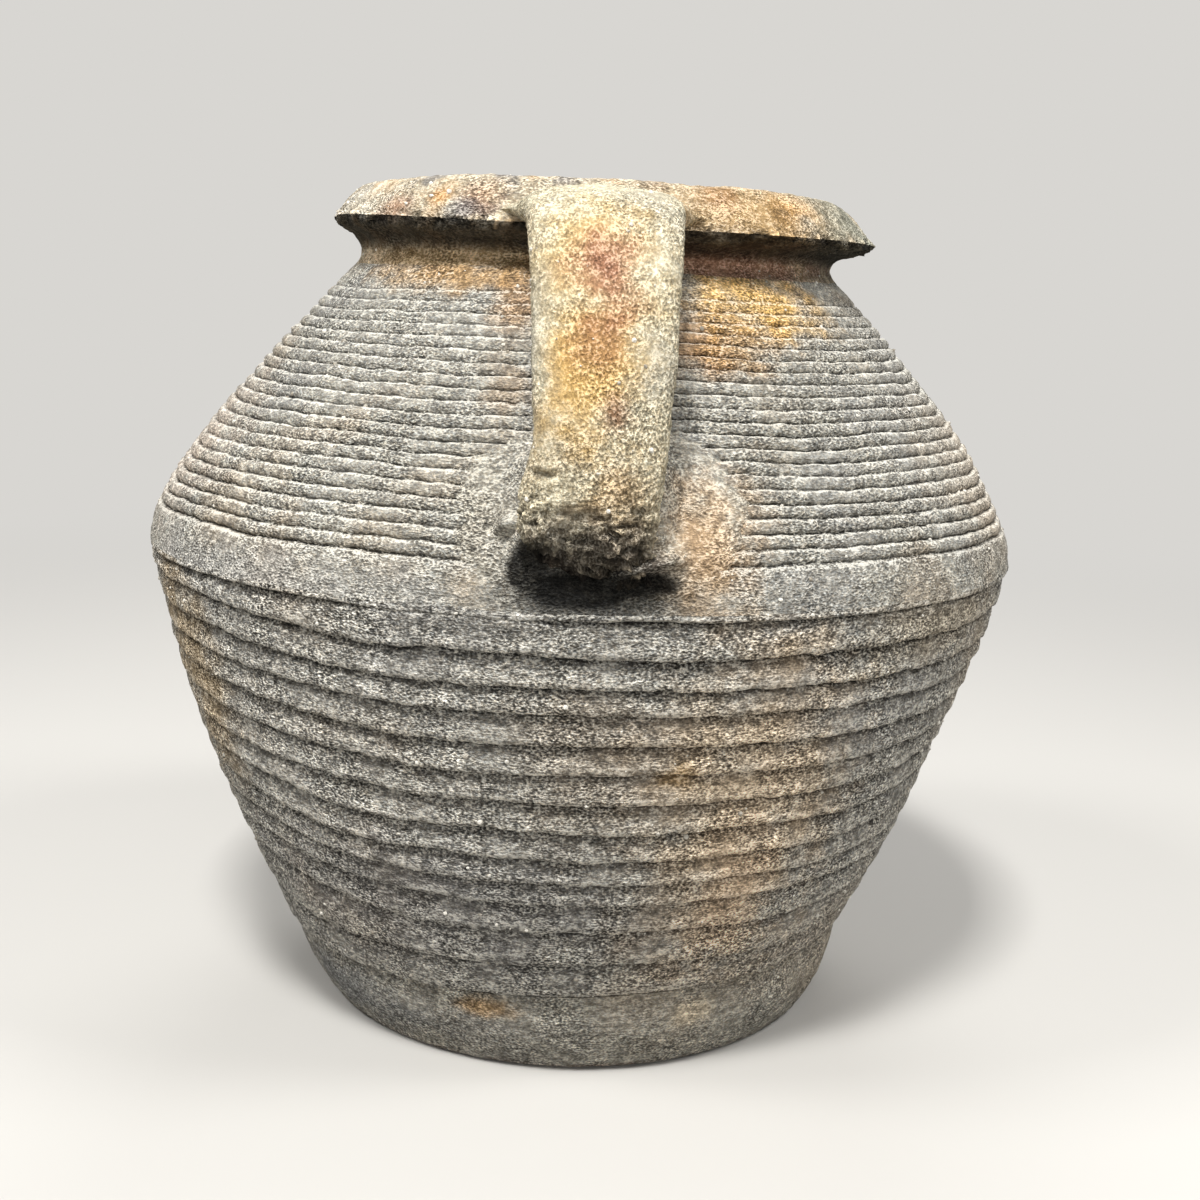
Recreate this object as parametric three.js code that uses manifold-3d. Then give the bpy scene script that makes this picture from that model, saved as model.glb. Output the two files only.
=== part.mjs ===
// A wheel-thrown grey pottery cooking pot with ribbed and combed walls, a turned-out collar rim and one
// strap handle. Millimetres, +Z up. The origin is the centre of the flat base, the handle is on the -Y side.
// The pot is put together as its maker does it: a cut base with its foot, a ribbed lower wall, a combed
// shoulder, a neck with its rim, a pulled strap, and the two dabs of wet clay that lute the strap on.
import * as THREE from "three";
import { mergeVertices } from "three/addons/utils/BufferGeometryUtils.js";
import Module from "manifold-3d";

const wasm = await Module();
wasm.setup();

// Foot: a plain band that flares up from the flat base
const BASE_R = 53;
const BASE_ROUND = 1.2;
const FOOT_TOP_R = 60.6;
const FOOT_H = 17.5;
const FOOT_SWELL = 1.3;
const FLOOR = 7;

// Walls: the lower wall bows out past a straight cone, and the belly turns in to a 45 degree cone
const FOOT_STEP = 1.2;
const BELLY_R = 89.9;
const BELLY_Z = 96;
const LOWER_SWELL = 2.3;
const BELLY_TURN = 10.5;
const NECK_RUN = 31.5;
const NECK_R = 50;
const NECK_Z = 152.5;
const WALL = 6;

// Thrown ribs below the belly and comb lines above it, both spaced along the wall
const RIB_PITCH = 6;
const RIB_DEPTH = 1.1;
const COMB_PITCH = 2.7;
const COMB_DEPTH = 0.6;
const BELLY_BAND = 9.5;
const BELLY_BAND_ROUND = 1.8;
const NECK_BAND = 6;

// Rim: a collar that leans out over the hollow neck, with a sloping face and a rounded top. Its heights are
// above the foot of the neck, and its radii are measured from the neck's
const NECK_HOLLOW = 0.7;
const NECK_H = 5;
const RIM_TIP_OUT = 5.4;
const RIM_TIP_H = 8.1;
const RIM_TIP_ROUND = 1.6;
const RIM_TOP_IN = 3.6;
const RIM_H = 16.5;
const RIM_FACE_BOW = 2;
const MOUTH_IN = 7.2;
const MOUTH_ROUND = 5;

// Strap handle: its middle line runs level out of the rim, down just inside the belly's radius, and round an
// elbow just past it to the root. The crown's height is above the foot of the neck, the others' above the
// belly
const STRAP_RIM_W = 27;
const STRAP_ROOT_W = 21;
const STRAP_T = 8.5;
const STRAP_CROWN_H = 10.1;
const STRAP_BEND = 26;
const STRAP_SET_IN = 2.4;
const STRAP_ELBOW_OUT = 0.9;
const STRAP_ELBOW_H = 20;
const STRAP_ROOT_H = 9.5;
const STRAP_ROOT_IN = 15;
const STRAP_SQUARE = 0.6;

// Luting clay: a collar round the strap at the rim, and a smear that follows the shoulder round its root
const LUTE_GAP = 0.3;
const COLLAR_RUN = 15;
const COLLAR_SPREAD = 7;
const COLLAR_RISE = 0.9;
const COLLAR_EDGE = 0.9;
const SMEAR_W = 52;
const SMEAR_H = 31;
const SMEAR_UP = 18.5;
const SMEAR_T = 2.2;
const SMEAR_EDGE = 0.5;

// Facets
const TURNS = 44;
const INSIDE_STEPS = 5;
const STRAP_STEPS = 24;
const STRAP_SIDES = 16;
const COLLAR_STEPS = 6;
const SMEAR_RINGS = 4;
const SMEAR_SPOKES = 28;
const ENVELOPE_STEPS = 24;

// A revolved solid: outline is a list of [radius, height] that goes round the section
const revolve = (outline) => {
  const points = outline.map(([r, z]) => new THREE.Vector2(r, z));
  if (points[0].x > 0 || points.at(-1).x > 0) points.push(points[0].clone());
  const geometry = new THREE.LatheGeometry(points, TURNS);
  geometry.rotateX(Math.PI / 2);
  return geometry;
};

// A bowed line between two [radius, height] points: bow is how far its middle stands out
const bowed = ([r0, z0], [r1, z1], bow) =>
  new THREE.QuadraticBezierCurve(
    new THREE.Vector2(r0, z0),
    new THREE.Vector2((r0 + r1) / 2 + 2 * bow, (z0 + z1) / 2),
    new THREE.Vector2(r1, z1),
  );
const pairs = (curve, steps) => curve.getSpacedPoints(steps).map((p) => [p.x, p.y]);

// Places that follow from the sizes above
const footInnerR = FOOT_TOP_R + FOOT_STEP - WALL;
const [tipR, tipZ] = [NECK_R + RIM_TIP_OUT, NECK_Z + RIM_TIP_H];
const [topR, topZ] = [NECK_R - RIM_TOP_IN, NECK_Z + RIM_H];
const mouthR = NECK_R - MOUTH_IN;
const crownZ = NECK_Z + STRAP_CROWN_H;
const strapOut = BELLY_R - STRAP_SET_IN;
const [elbowOut, elbowZ] = [BELLY_R + STRAP_ELBOW_OUT, BELLY_Z + STRAP_ELBOW_H];
const rootZ = BELLY_Z + STRAP_ROOT_H;

// The smooth outside of each piece, from the base to the rim
const footCurve = bowed([BASE_R + BASE_ROUND, BASE_ROUND], [FOOT_TOP_R, FOOT_H], FOOT_SWELL);
const lowerCurve = bowed([FOOT_TOP_R + FOOT_STEP, FOOT_H], [BELLY_R, BELLY_Z], LOWER_SWELL);
const shoulderCurve = new THREE.CubicBezierCurve(
  new THREE.Vector2(BELLY_R, BELLY_Z),
  new THREE.Vector2(BELLY_R, BELLY_Z + BELLY_TURN),
  new THREE.Vector2(NECK_R + NECK_RUN, NECK_Z - NECK_RUN),
  new THREE.Vector2(NECK_R, NECK_Z),
);
const rimFace = bowed([tipR, tipZ], [topR, topZ], RIM_FACE_BOW);

// The point [radius, height] at a distance up a wall's outside, sunk in square to the wall
const wallPoint = (curve, distance, depth) => {
  const share = distance / curve.getLength();
  const point = curve.getPointAt(share);
  const along = curve.getTangentAt(share);
  return [point.x - depth * along.y, point.y + depth * along.x];
};

// Grooves up a stretch of wall. profile gives each one's points as [share of the pitch, share of the depth],
// and the last groove closes the stretch
const grooved = (curve, from, to, pitch, depth, profile) => {
  const count = Math.max(1, Math.round((to - from) / pitch));
  const step = (to - from) / count;
  const points = [];
  for (let i = 0; i < count; i++)
    for (const [across, sunk] of profile) points.push(wallPoint(curve, from + (i + across) * step, sunk * depth));
  return points;
};
// A thrown rib rolls out under its crease and slopes back; a comb tooth leaves a narrow V between flat bands
const RIB_PROFILE = [[0, 1], [0.3, 0], [0.75, 0.25]];
const COMB_PROFILE = [[0, 1], [0.22, 0], [0.82, 0]];

// The inside of a wall, plain, from just under its top edge down to just over its bottom edge
const inside = (curve) => {
  const length = curve.getLength();
  return Array.from({ length: INSIDE_STEPS - 1 }, (_, i) =>
    wallPoint(curve, (length * (INSIDE_STEPS - 1 - i)) / INSIDE_STEPS, WALL),
  );
};

const footGeometry = () =>
  revolve([
    [0, 0],
    [BASE_R, 0],
    ...pairs(footCurve, 3),
    [footInnerR, FOOT_H],
    [footInnerR - (FOOT_H - FLOOR) / 2, FLOOR],
    [0, FLOOR],
  ]);

const lowerWallGeometry = () =>
  revolve([
    [FOOT_TOP_R, FOOT_H],
    ...grooved(lowerCurve, 0, lowerCurve.getLength(), RIB_PITCH, RIB_DEPTH, RIB_PROFILE).slice(1),
    [BELLY_R - RIB_DEPTH, BELLY_Z],
    [BELLY_R - WALL, BELLY_Z],
    ...inside(lowerCurve),
    [footInnerR, FOOT_H],
  ]);

const combEnd = shoulderCurve.getLength() - NECK_BAND;
const shoulderGeometry = () =>
  revolve([
    [BELLY_R - RIB_DEPTH, BELLY_Z],
    wallPoint(shoulderCurve, BELLY_BAND_ROUND, 0),
    wallPoint(shoulderCurve, BELLY_BAND - BELLY_BAND_ROUND / 2, 0),
    ...grooved(shoulderCurve, BELLY_BAND, combEnd, COMB_PITCH, COMB_DEPTH, COMB_PROFILE),
    wallPoint(shoulderCurve, combEnd, COMB_DEPTH),
    wallPoint(shoulderCurve, combEnd + COMB_DEPTH, 0),
    [NECK_R, NECK_Z],
    [mouthR, NECK_Z],
    ...inside(shoulderCurve),
    [BELLY_R - WALL, BELLY_Z],
  ]);

const rimOutline = [
  [NECK_R, NECK_Z],
  [NECK_R - NECK_HOLLOW, NECK_Z + NECK_H / 2],
  [NECK_R + NECK_HOLLOW, NECK_Z + NECK_H],
  [tipR - RIM_TIP_ROUND, tipZ - RIM_TIP_ROUND],
  ...pairs(rimFace, 5),
];
const mouthCurve = bowed([topR, topZ], [mouthR, topZ - MOUTH_ROUND], -RIM_TIP_ROUND / 2);
const rimGeometry = () => revolve([...rimOutline, ...pairs(mouthCurve, 3).slice(1), [mouthR, NECK_Z]]);

// manifold-3d solids for the pieces that are cut to fit their neighbours
const toSolid = (geometry) => {
  const bare = geometry.index ? geometry.toNonIndexed() : geometry.clone();
  bare.deleteAttribute("normal");
  bare.deleteAttribute("uv");
  const merged = mergeVertices(bare, 1e-3);
  const vertProperties = merged.attributes.position.array;
  return new wasm.Manifold(new wasm.Mesh({ numProp: 3, vertProperties, triVerts: merged.index.array }));
};
const toGeometry = (solid) => {
  const { vertProperties, triVerts } = solid.getMesh();
  const geometry = new THREE.BufferGeometry();
  geometry.setAttribute("position", new THREE.BufferAttribute(new Float32Array(vertProperties), 3));
  geometry.setIndex(new THREE.BufferAttribute(new Uint32Array(triVerts), 1));
  return geometry;
};
const largest = (solid) => solid.decompose().sort((a, b) => b.volume() - a.volume())[0];

// The pot's whole outside, filled and smooth, one luting gap larger: what the handle's clay is cut back to
const potEnvelope = () => {
  const outline = [
    ...pairs(footCurve, 3),
    ...pairs(lowerCurve, ENVELOPE_STEPS),
    ...pairs(shoulderCurve, ENVELOPE_STEPS).slice(1),
    ...rimOutline.slice(1),
  ];
  const grown = outline.map(([r, z], i) => {
    const [r0, z0] = outline[Math.max(i - 1, 0)];
    const [r1, z1] = outline[Math.min(i + 1, outline.length - 1)];
    const share = LUTE_GAP / Math.hypot(r1 - r0, z1 - z0);
    return [r + (z1 - z0) * share, z - (r1 - r0) * share];
  });
  return toSolid(revolve([[0, 0], [BASE_R, 0], ...grown, [0, topZ + LUTE_GAP]]));
};

// The strap's middle line in the plane x = 0: level from the rim, down, and round the elbow to the shoulder
const strapLine = new THREE.CatmullRomCurve3(
  [
    [topR - LUTE_GAP, crownZ],
    [tipR + STRAP_T / 2, crownZ],
    [(tipR + strapOut) / 2 + STRAP_T / 4, crownZ - STRAP_BEND / 8],
    [strapOut - STRAP_BEND / 4, crownZ - STRAP_BEND / 2.3],
    [strapOut, crownZ - STRAP_BEND],
    [elbowOut, elbowZ],
    [elbowOut - STRAP_T / 4, rootZ + STRAP_T / 2],
    [elbowOut - STRAP_ROOT_IN / 2, rootZ],
    [elbowOut - STRAP_ROOT_IN, rootZ - STRAP_T / 8],
  ].map(([out, z]) => new THREE.Vector3(0, -out, z)),
  false,
  "centripetal",
);

// A power that squares up a round section, for a flat oval with soft edges
const squared = (value) => Math.sign(value) * Math.abs(value) ** STRAP_SQUARE;

// A closed loft along the strap's line as far as end, wider and thicker than the strap by extra(share)
const strapLoft = (end, steps, extra) => {
  const positions = [];
  const faces = [];
  const across = new THREE.Vector3(1, 0, 0);
  for (let i = 0; i <= steps; i++) {
    const share = (end * i) / steps;
    const centre = strapLine.getPointAt(share);
    const outward = new THREE.Vector3().crossVectors(strapLine.getTangentAt(share), across);
    const [wider, thicker] = extra(i / steps);
    const halfWidth = THREE.MathUtils.lerp(STRAP_RIM_W, STRAP_ROOT_W, share) / 2 + wider;
    const halfThickness = STRAP_T / 2 + thicker;
    for (let k = 0; k < STRAP_SIDES; k++) {
      const angle = (2 * Math.PI * k) / STRAP_SIDES;
      const point = centre.clone();
      point.addScaledVector(across, halfWidth * squared(Math.cos(angle)));
      point.addScaledVector(outward, halfThickness * squared(Math.sin(angle)));
      positions.push(...point.toArray());
    }
  }
  for (let i = 0; i < steps; i++)
    for (let k = 0; k < STRAP_SIDES; k++) {
      const a = i * STRAP_SIDES + k;
      const b = i * STRAP_SIDES + ((k + 1) % STRAP_SIDES);
      faces.push(a, b, b + STRAP_SIDES, a, b + STRAP_SIDES, a + STRAP_SIDES);
    }
  const last = steps * STRAP_SIDES;
  for (let k = 1; k < STRAP_SIDES - 1; k++) faces.push(0, k + 1, k, last, last + k, last + k + 1);
  const geometry = new THREE.BufferGeometry();
  geometry.setAttribute("position", new THREE.Float32BufferAttribute(positions, 3));
  geometry.setIndex(faces);
  return toSolid(geometry);
};

// The smear of clay on the shoulder: a thin lens that follows the wall, laid out in rings round its middle
const smearSolid = () => {
  const positions = [];
  const faces = [];
  const place = (ring, spoke, lift) => {
    const angle = (2 * Math.PI * spoke) / SMEAR_SPOKES;
    const up = SMEAR_UP + (SMEAR_H / 2) * ring * Math.sin(angle);
    const [r, z] = wallPoint(shoulderCurve, up, -LUTE_GAP - lift);
    const turn = ((SMEAR_W / 2) * ring * Math.cos(angle)) / r;
    positions.push(r * Math.sin(turn), -r * Math.cos(turn), z);
  };
  const lens = (ring) => SMEAR_EDGE + (SMEAR_T - SMEAR_EDGE) * (1 - ring * ring);
  for (const lift of [lens, () => 0]) {
    place(0, 0, lift(0));
    for (let i = 1; i <= SMEAR_RINGS; i++)
      for (let k = 0; k < SMEAR_SPOKES; k++) place(i / SMEAR_RINGS, k, lift(i / SMEAR_RINGS));
  }
  const back = 1 + SMEAR_RINGS * SMEAR_SPOKES;
  const index = (ring, spoke) => 1 + (ring - 1) * SMEAR_SPOKES + (spoke % SMEAR_SPOKES);
  for (let k = 0; k < SMEAR_SPOKES; k++) {
    faces.push(0, index(1, k), index(1, k + 1), back, back + index(1, k + 1), back + index(1, k));
    for (let i = 1; i < SMEAR_RINGS; i++) {
      const [a, b, c, d] = [index(i, k), index(i + 1, k), index(i + 1, k + 1), index(i, k + 1)];
      faces.push(a, b, c, a, c, d, back + a, back + c, back + b, back + a, back + d, back + c);
    }
    const [e, f] = [index(SMEAR_RINGS, k), index(SMEAR_RINGS, k + 1)];
    faces.push(e, back + e, back + f, e, back + f, f);
  }
  const geometry = new THREE.BufferGeometry();
  geometry.setAttribute("position", new THREE.Float32BufferAttribute(positions, 3));
  geometry.setIndex(faces);
  return toSolid(geometry);
};

// The strap is cut back to the pot, and its luting clay is cut back to the pot and to the strap
const pot = potEnvelope();
const strap = largest(strapLoft(1, STRAP_STEPS, () => [0, 0]).subtract(pot));
const strapRoom = strapLoft(1, STRAP_STEPS, () => [LUTE_GAP, LUTE_GAP]);
const flare = (share) => {
  const thickness = COLLAR_EDGE + LUTE_GAP;
  return [thickness + COLLAR_SPREAD * (1 - share) ** 2, thickness + COLLAR_RISE * (1 - share) ** 2];
};
const collar = strapLoft(COLLAR_RUN / strapLine.getLength(), COLLAR_STEPS, flare);
const rimLute = largest(collar.subtract(pot).subtract(strapRoom));
const rootLute = largest(smearSolid().subtract(strapRoom));

const group = new THREE.Group();
const add = (name, geometry, color) => {
  const clay = new THREE.MeshStandardMaterial({ name: `${name}_clay`, color, roughness: 0.95, metalness: 0 });
  const mesh = new THREE.Mesh(geometry, clay);
  mesh.name = name;
  group.add(mesh);
};
add("foot_base", footGeometry(), 0x5f5d59);
add("lower_wall", lowerWallGeometry(), 0x66635d);
add("shoulder_wall", shoulderGeometry(), 0x89847a);
add("neck_rim", rimGeometry(), 0x9a8a6c);
add("strap_handle", toGeometry(strap), 0xa79472);
add("handle_root_lute", toGeometry(rootLute), 0x8f8674);
add("handle_rim_lute", toGeometry(rimLute), 0x9f9078);

export default group;
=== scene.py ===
import bpy
import numpy as np
from mathutils import Matrix, Vector


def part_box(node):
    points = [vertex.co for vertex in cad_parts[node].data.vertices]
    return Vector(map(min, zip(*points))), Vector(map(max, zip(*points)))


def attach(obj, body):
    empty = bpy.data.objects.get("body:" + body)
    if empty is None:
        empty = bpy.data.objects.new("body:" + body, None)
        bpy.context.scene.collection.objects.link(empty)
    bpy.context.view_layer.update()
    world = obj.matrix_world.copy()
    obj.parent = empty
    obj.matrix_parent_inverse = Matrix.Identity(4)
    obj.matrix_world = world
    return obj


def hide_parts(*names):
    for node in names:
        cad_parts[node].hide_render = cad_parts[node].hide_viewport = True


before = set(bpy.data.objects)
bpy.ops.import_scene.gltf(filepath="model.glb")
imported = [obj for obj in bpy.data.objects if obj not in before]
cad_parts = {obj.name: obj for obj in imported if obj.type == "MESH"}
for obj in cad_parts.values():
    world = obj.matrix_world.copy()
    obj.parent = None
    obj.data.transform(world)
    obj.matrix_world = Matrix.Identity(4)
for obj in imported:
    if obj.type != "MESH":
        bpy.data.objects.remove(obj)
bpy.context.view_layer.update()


# Foot: a thick disc of coarse grey earthenware, the pot's floor, with the plain band round it that the potter
# turned smooth. It was cut off the wheel with a wire, so its underside is flat, and its edge is worn round.
# All sizes are in millimetres until a mesh is made of them.
MM = 0.001
foot_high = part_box("foot_base")[1]
FOOT_TOP_R, FOOT_H = foot_high[0] / MM, foot_high[2] / MM
BASE_R = 53.0
BASE_ROUND = 1.2
BASE_HOLLOW = 0.7
BASE_RISE = 0.15
FOOT_SWELL = 1.3
FLOOR = 7.0
WALL = 6.0
FOOT_STEP = 1.2
FINE_ROW = 0.6
COARSE_ROW = 2.6
AROUND = 600
FOOT_CLAY = "#9f9b91"
EARTH_STAIN = "#a8865a"
LIME_SCURF = "#efebdf"
BURNT_EDGE = "#6b4c3c"
SMOKE_VEIL = "#77777a"

# How far the fired pot's middle leans to the right, at heights up the pot
LEAN = ((0, 0.8), (10, 0.55), (20, -0.1), (30, -0.45), (60, -0.45), (80, 0.25), (95, 0.6), (110, 0.85),
        (120, 1.45), (130, 1.9), (145, 1.8), (155, 1.65), (169, 1.6))
FOOT_LINE_RISE = 0.5
FOOT_LINE_TILT = 0.027
FOOT_LINE_REACH = 8.0
# From the neck up the rim tilts as one, and it dips towards the handle
NECK_LINE, TILT_RISE = 150.0, 10.0
RIM_TILT = 0.0095
RIM_DIP, DIP_REACH = 0.6, 55.0
# At the left the rim's lip is turned up a little and its top is worn down
LEFT_REACH, LEFT_FADE = 50.0, 3.0
LEFT_LIP_RISE, LEFT_LIP_Z = 1.4, 159.5
LEFT_TOP_WEAR, LEFT_TOP_Z = 0.8, 165.0
POT_MARKS = {"Lump height": 0.5 * MM, "Lump size": 22 * MM, "Grit height": 0.22 * MM, "Grit size": 2.4 * MM,
             "Torn height": 1.3 * MM, "Torn size": 2.6 * MM, "Seed": 3.0}
# How torn clay breaks: in flat facets, how bent their edges are, how far they tip and how far they stand out,
# and how fine and how deep the coarse and the fine ones are
TORN_FLAT = (0.75, 0.8, 1.25)
TORN_BEND, TORN_TIP, TORN_OUT = 0.8, 2.2, 0.9
TORN_LEVELS = ((1.0, 0.55), (1.9, 0.45))
# The columns of a turned section's rows
RADIUS, HEIGHT, OUT_R, OUT_Z, TURN, SHARE, ROUGH, TORN, SLIDE, PAINTED_SHADE = range(10)


def linear(hex_colour):
    """A #rrggbb sRGB colour as linear RGBA."""
    parts = [int(hex_colour[i : i + 2], 16) / 255 for i in (1, 3, 5)]
    return [c / 12.92 if c <= 0.04045 else ((c + 0.055) / 1.055) ** 2.4 for c in parts] + [1.0]


def node(tree, kind, links=(), out=None, **settings):
    """Adds a node and returns one output, by name or the first. links feed its inputs, in order or by name."""
    made = tree.nodes.new(kind)
    for key, value in settings.items():
        setattr(made, key, value)
    for key, value in links.items() if isinstance(links, dict) else enumerate(links):
        live = [socket for socket in made.inputs if socket.enabled]
        into = live[key] if isinstance(key, int) else next(socket for socket in live if socket.name == key)
        if isinstance(value, bpy.types.NodeSocket):
            tree.links.new(value, into)
        else:
            into.default_value = value
    return next((socket for socket in made.outputs if socket.enabled and out in (None, socket.name)), None)


def ramp(values, start, length):
    """Rises from 0 at the start to 1 a length further on, or before it where the length is negative."""
    return np.clip((values - start) / length, 0, 1)


def hump(values, middle, reach, power=2):
    """1 at the middle, and fades to 0 on both sides of it."""
    return np.exp(-(((values - middle) / reach) ** power))


def with_run(line):
    """A curve: its [radius, height] points, and how far along it each one is."""
    return line, np.concatenate([[0], np.cumsum(np.linalg.norm(np.diff(line, axis=0), axis=1))])


def bezier(*controls):
    """A curve from its [radius, height] control points."""
    t = np.linspace(0, 1, 1001)[:, None]
    line = [np.array(c, float) + 0 * t for c in controls]
    while len(line) > 1:
        line = [a + (b - a) * t for a, b in zip(line, line[1:])]
    return with_run(line[0])


def bowed(start, end, bow):
    """A bowed line between two [radius, height] points: bow is how far its middle stands out."""
    return bezier(start, [(start[0] + end[0]) / 2 + 2 * bow, (start[1] + end[1]) / 2], end)


def joined(*curves):
    """Several curves, end to end, as one."""
    return with_run(np.concatenate([curves[0][0]] + [curve[0][1:] for curve in curves[1:]]))


def curve_at(curve, distances):
    """A curve's radius and height at distances along it, and how fast each of the two grows there."""
    line, run = curve
    return [np.interp(distances, run, column) for column in np.hstack([line, np.gradient(line, run, axis=0)]).T]


def steps(start, end, size):
    """Evenly spaced distances from start to end, about size apart, both ends included."""
    return np.linspace(start, end, max(2, int(round(abs(end - start) / size)) + 1))


def section_rows(curve, distances, depth=0.0, side=1.0, rough=1.0):
    """Rows of a turned section. side is -1 for a curve that runs down the inside, depth how far in it lies."""
    radius, height, along_r, along_z = curve_at(curve, distances)
    length = np.hypot(along_r, along_z)
    out_r, out_z = side * along_z / length, -side * along_r / length
    rows = np.zeros((len(radius), PAINTED_SHADE + 1))
    rows[:, :TURN] = np.stack([radius - depth * side * out_r, height - depth * side * out_z, out_r, out_z], -1)
    rows[:, ROUGH] = rough
    return rows


def as_fired(points):
    """The pot warped as it dried: it leans, its foot line slopes, and its rim tilts and dips at the handle."""
    x, y, z = np.asarray(points, float).T
    x = x + np.interp(z, *np.transpose(LEAN))
    z = z + (FOOT_LINE_RISE + FOOT_LINE_TILT * x) * hump(z, FOOT_H, FOOT_LINE_REACH)
    z = z - ramp(z, NECK_LINE, TILT_RISE) * (RIM_TILT * x + RIM_DIP * ramp(-y, 0, DIP_REACH) ** 2)
    left = LEFT_LIP_RISE * hump(z, LEFT_LIP_Z, LEFT_FADE) - LEFT_TOP_WEAR * ramp(z, LEFT_TOP_Z, LEFT_FADE)
    return np.stack([x, y, z + ramp(-x, 0, LEFT_REACH) ** 2 * left], -1)


def placed(name, data):
    """Puts a mesh, a lamp or a camera into the scene."""
    thing = bpy.data.objects.new(name, data)
    bpy.context.scene.collection.objects.link(thing)
    return thing


def write(mesh, name, values):
    """Gives each point of a mesh its number, or its three numbers, under a name."""
    kind, field = ("FLOAT_VECTOR", "vector") if np.ndim(values) == 2 else ("FLOAT", "value")
    layer = mesh.attributes.get(name) or mesh.attributes.new(name, kind, "POINT")
    layer.data.foreach_set(field, np.ravel(values).astype(np.float32))


def read(mesh, name):
    """What each point of a mesh has under a name."""
    layer = mesh.attributes[name]
    field, wide = ("vector", 3) if layer.data_type == "FLOAT_VECTOR" else ("value", 1)
    values = np.empty(wide * len(layer.data), np.float32)
    layer.data.foreach_get(field, values)
    return values.astype(float).reshape(-1, wide).squeeze()


def clay_mesh(name, points, faces, attributes, sharp_rings=None):
    """A piece of clay from points in millimetres, with the attributes that its surface is worked from."""
    mesh = bpy.data.meshes.new(name)
    mesh.from_pydata((as_fired(points) * MM).tolist(), [], faces)
    for key, values in {"soot": np.zeros(len(points)), **attributes}.items():
        write(mesh, key, values)
    mesh.shade_smooth()
    if sharp_rings is not None:
        ends = np.empty(2 * len(mesh.edges), np.int32)
        mesh.edges.foreach_get("vertices", ends)
        rings = sharp_rings[ends.reshape(-1, 2)]
        sharp = (rings[:, 0] == rings[:, 1]) & (rings[:, 0] >= 0)
        mesh.attributes.new("sharp_edge", "BOOLEAN", "EDGE").data.foreach_set("value", sharp)
    return placed(name, mesh)


def net(rows, columns, row_steps, column_steps):
    """The faces of a net of points. It closes on itself where it has as many steps as rows, or as columns."""
    i, j = np.meshgrid(np.arange(row_steps), np.arange(column_steps), indexing="ij")
    down, beside = (i + 1) % rows * columns, (j + 1) % columns
    return np.stack([i * columns + j, down + j, down + beside, i * columns + beside], -1).reshape(-1, 4)


def turned(name, rows, corners=(), poles=False, side_shift=0.0):
    """A closed turned piece. Its rows go up its outside and down its inside, corners are its sharp rows."""
    count = len(rows)
    theta = np.linspace(0, 2 * np.pi, AROUND, endpoint=False)
    ways = np.stack([np.sin(theta), -np.cos(theta)], -1)[:, None, :]

    def spun(out, up):
        upward = np.broadcast_to(up[None, :, None], (AROUND, count, 1))
        return np.concatenate([ways * out[None, :, None], upward], 2).reshape(-1, 3)

    points, outward = spun(rows[:, RADIUS], rows[:, HEIGHT]), spun(rows[:, OUT_R], rows[:, OUT_Z])
    points[:, 0] += np.tile(np.broadcast_to(side_shift, count), AROUND)
    slide = spun(-rows[:, OUT_Z] * rows[:, SLIDE], rows[:, OUT_R] * rows[:, SLIDE]) * MM
    faces = net(AROUND, count, AROUND, count - 1 if poles else count).tolist()
    columns = (("turn", TURN), ("share", SHARE), ("rough", ROUGH), ("torn", TORN), ("soot", PAINTED_SHADE))
    marks = {key: np.tile(rows[:, column], AROUND) for key, column in columns}
    rings = np.tile(np.where(np.isin(np.arange(count), np.mod(corners, count)), np.arange(count), -1), AROUND)
    if poles:
        first, last = len(points), len(points) + 1
        points = np.concatenate([points, [[0, 0, rows[0, HEIGHT]], [0, 0, rows[-1, HEIGHT]]]])
        outward = np.concatenate([outward, [[0, 0, -1], [0, 0, 1]]])
        slide = np.concatenate([slide, np.zeros((2, 3))])
        marks = {key: np.append(values, [0, 0]) for key, values in marks.items()}
        rings = np.append(rings, [-1, -1])
        for k in range(AROUND):
            near, beside = k * count, (k + 1) % AROUND * count
            faces += [(first, beside, near), (near + count - 1, beside + count - 1, last)]
    return clay_mesh(name, points, faces, {**marks, "outward": outward, "slide": slide}, rings)


def new_tree(name, sizes):
    """A Geometry Nodes tree with a mesh and a clay going in, the named sizes, and a mesh coming out."""
    tree = bpy.data.node_groups.new(name, "GeometryNodeTree")
    tree.interface.new_socket("Mesh", in_out="INPUT", socket_type="NodeSocketGeometry")
    for label in sizes:
        tree.interface.new_socket(label, in_out="INPUT", socket_type="NodeSocketFloat")
    tree.interface.new_socket("Clay", in_out="INPUT", socket_type="NodeSocketMaterial")
    tree.interface.new_socket("Mesh", in_out="OUTPUT", socket_type="NodeSocketGeometry")
    given = tree.nodes.new("NodeGroupInput")
    return tree, {socket.name: socket for socket in given.outputs}


def close_tree(tree, mesh, clay):
    """Ends a tree in real geometry with its clay on it."""
    mesh = node(tree, "GeometryNodeRealizeInstances", [mesh])
    mesh = node(tree, "GeometryNodeSetMaterial", {"Geometry": mesh, "Material": clay})
    node(tree, "NodeGroupOutput", [mesh])
    return tree


def attribute(tree, name, kind="FLOAT"):
    """What a piece's points carry under a name."""
    return node(tree, "GeometryNodeInputNamedAttribute", {"Name": name}, data_type=kind)


def swing(tree, place, scale, detail, seed, reach):
    """A smooth random value that swings by its reach to both sides of 0 over the clay: seed picks which."""
    noise = node(tree, "ShaderNodeTexNoise", {"Vector": place, "W": seed, "Scale": scale, "Detail": detail},
                 noise_dimensions="4D")
    low = node(tree, "ShaderNodeMath", [reach, -1.0], operation="MULTIPLY")
    ends = {"From Min": 0.25, "From Max": 0.75, "To Min": low, "To Max": reach}
    return node(tree, "ShaderNodeMapRange", {"Value": noise, **ends}, clamp=False)


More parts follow.
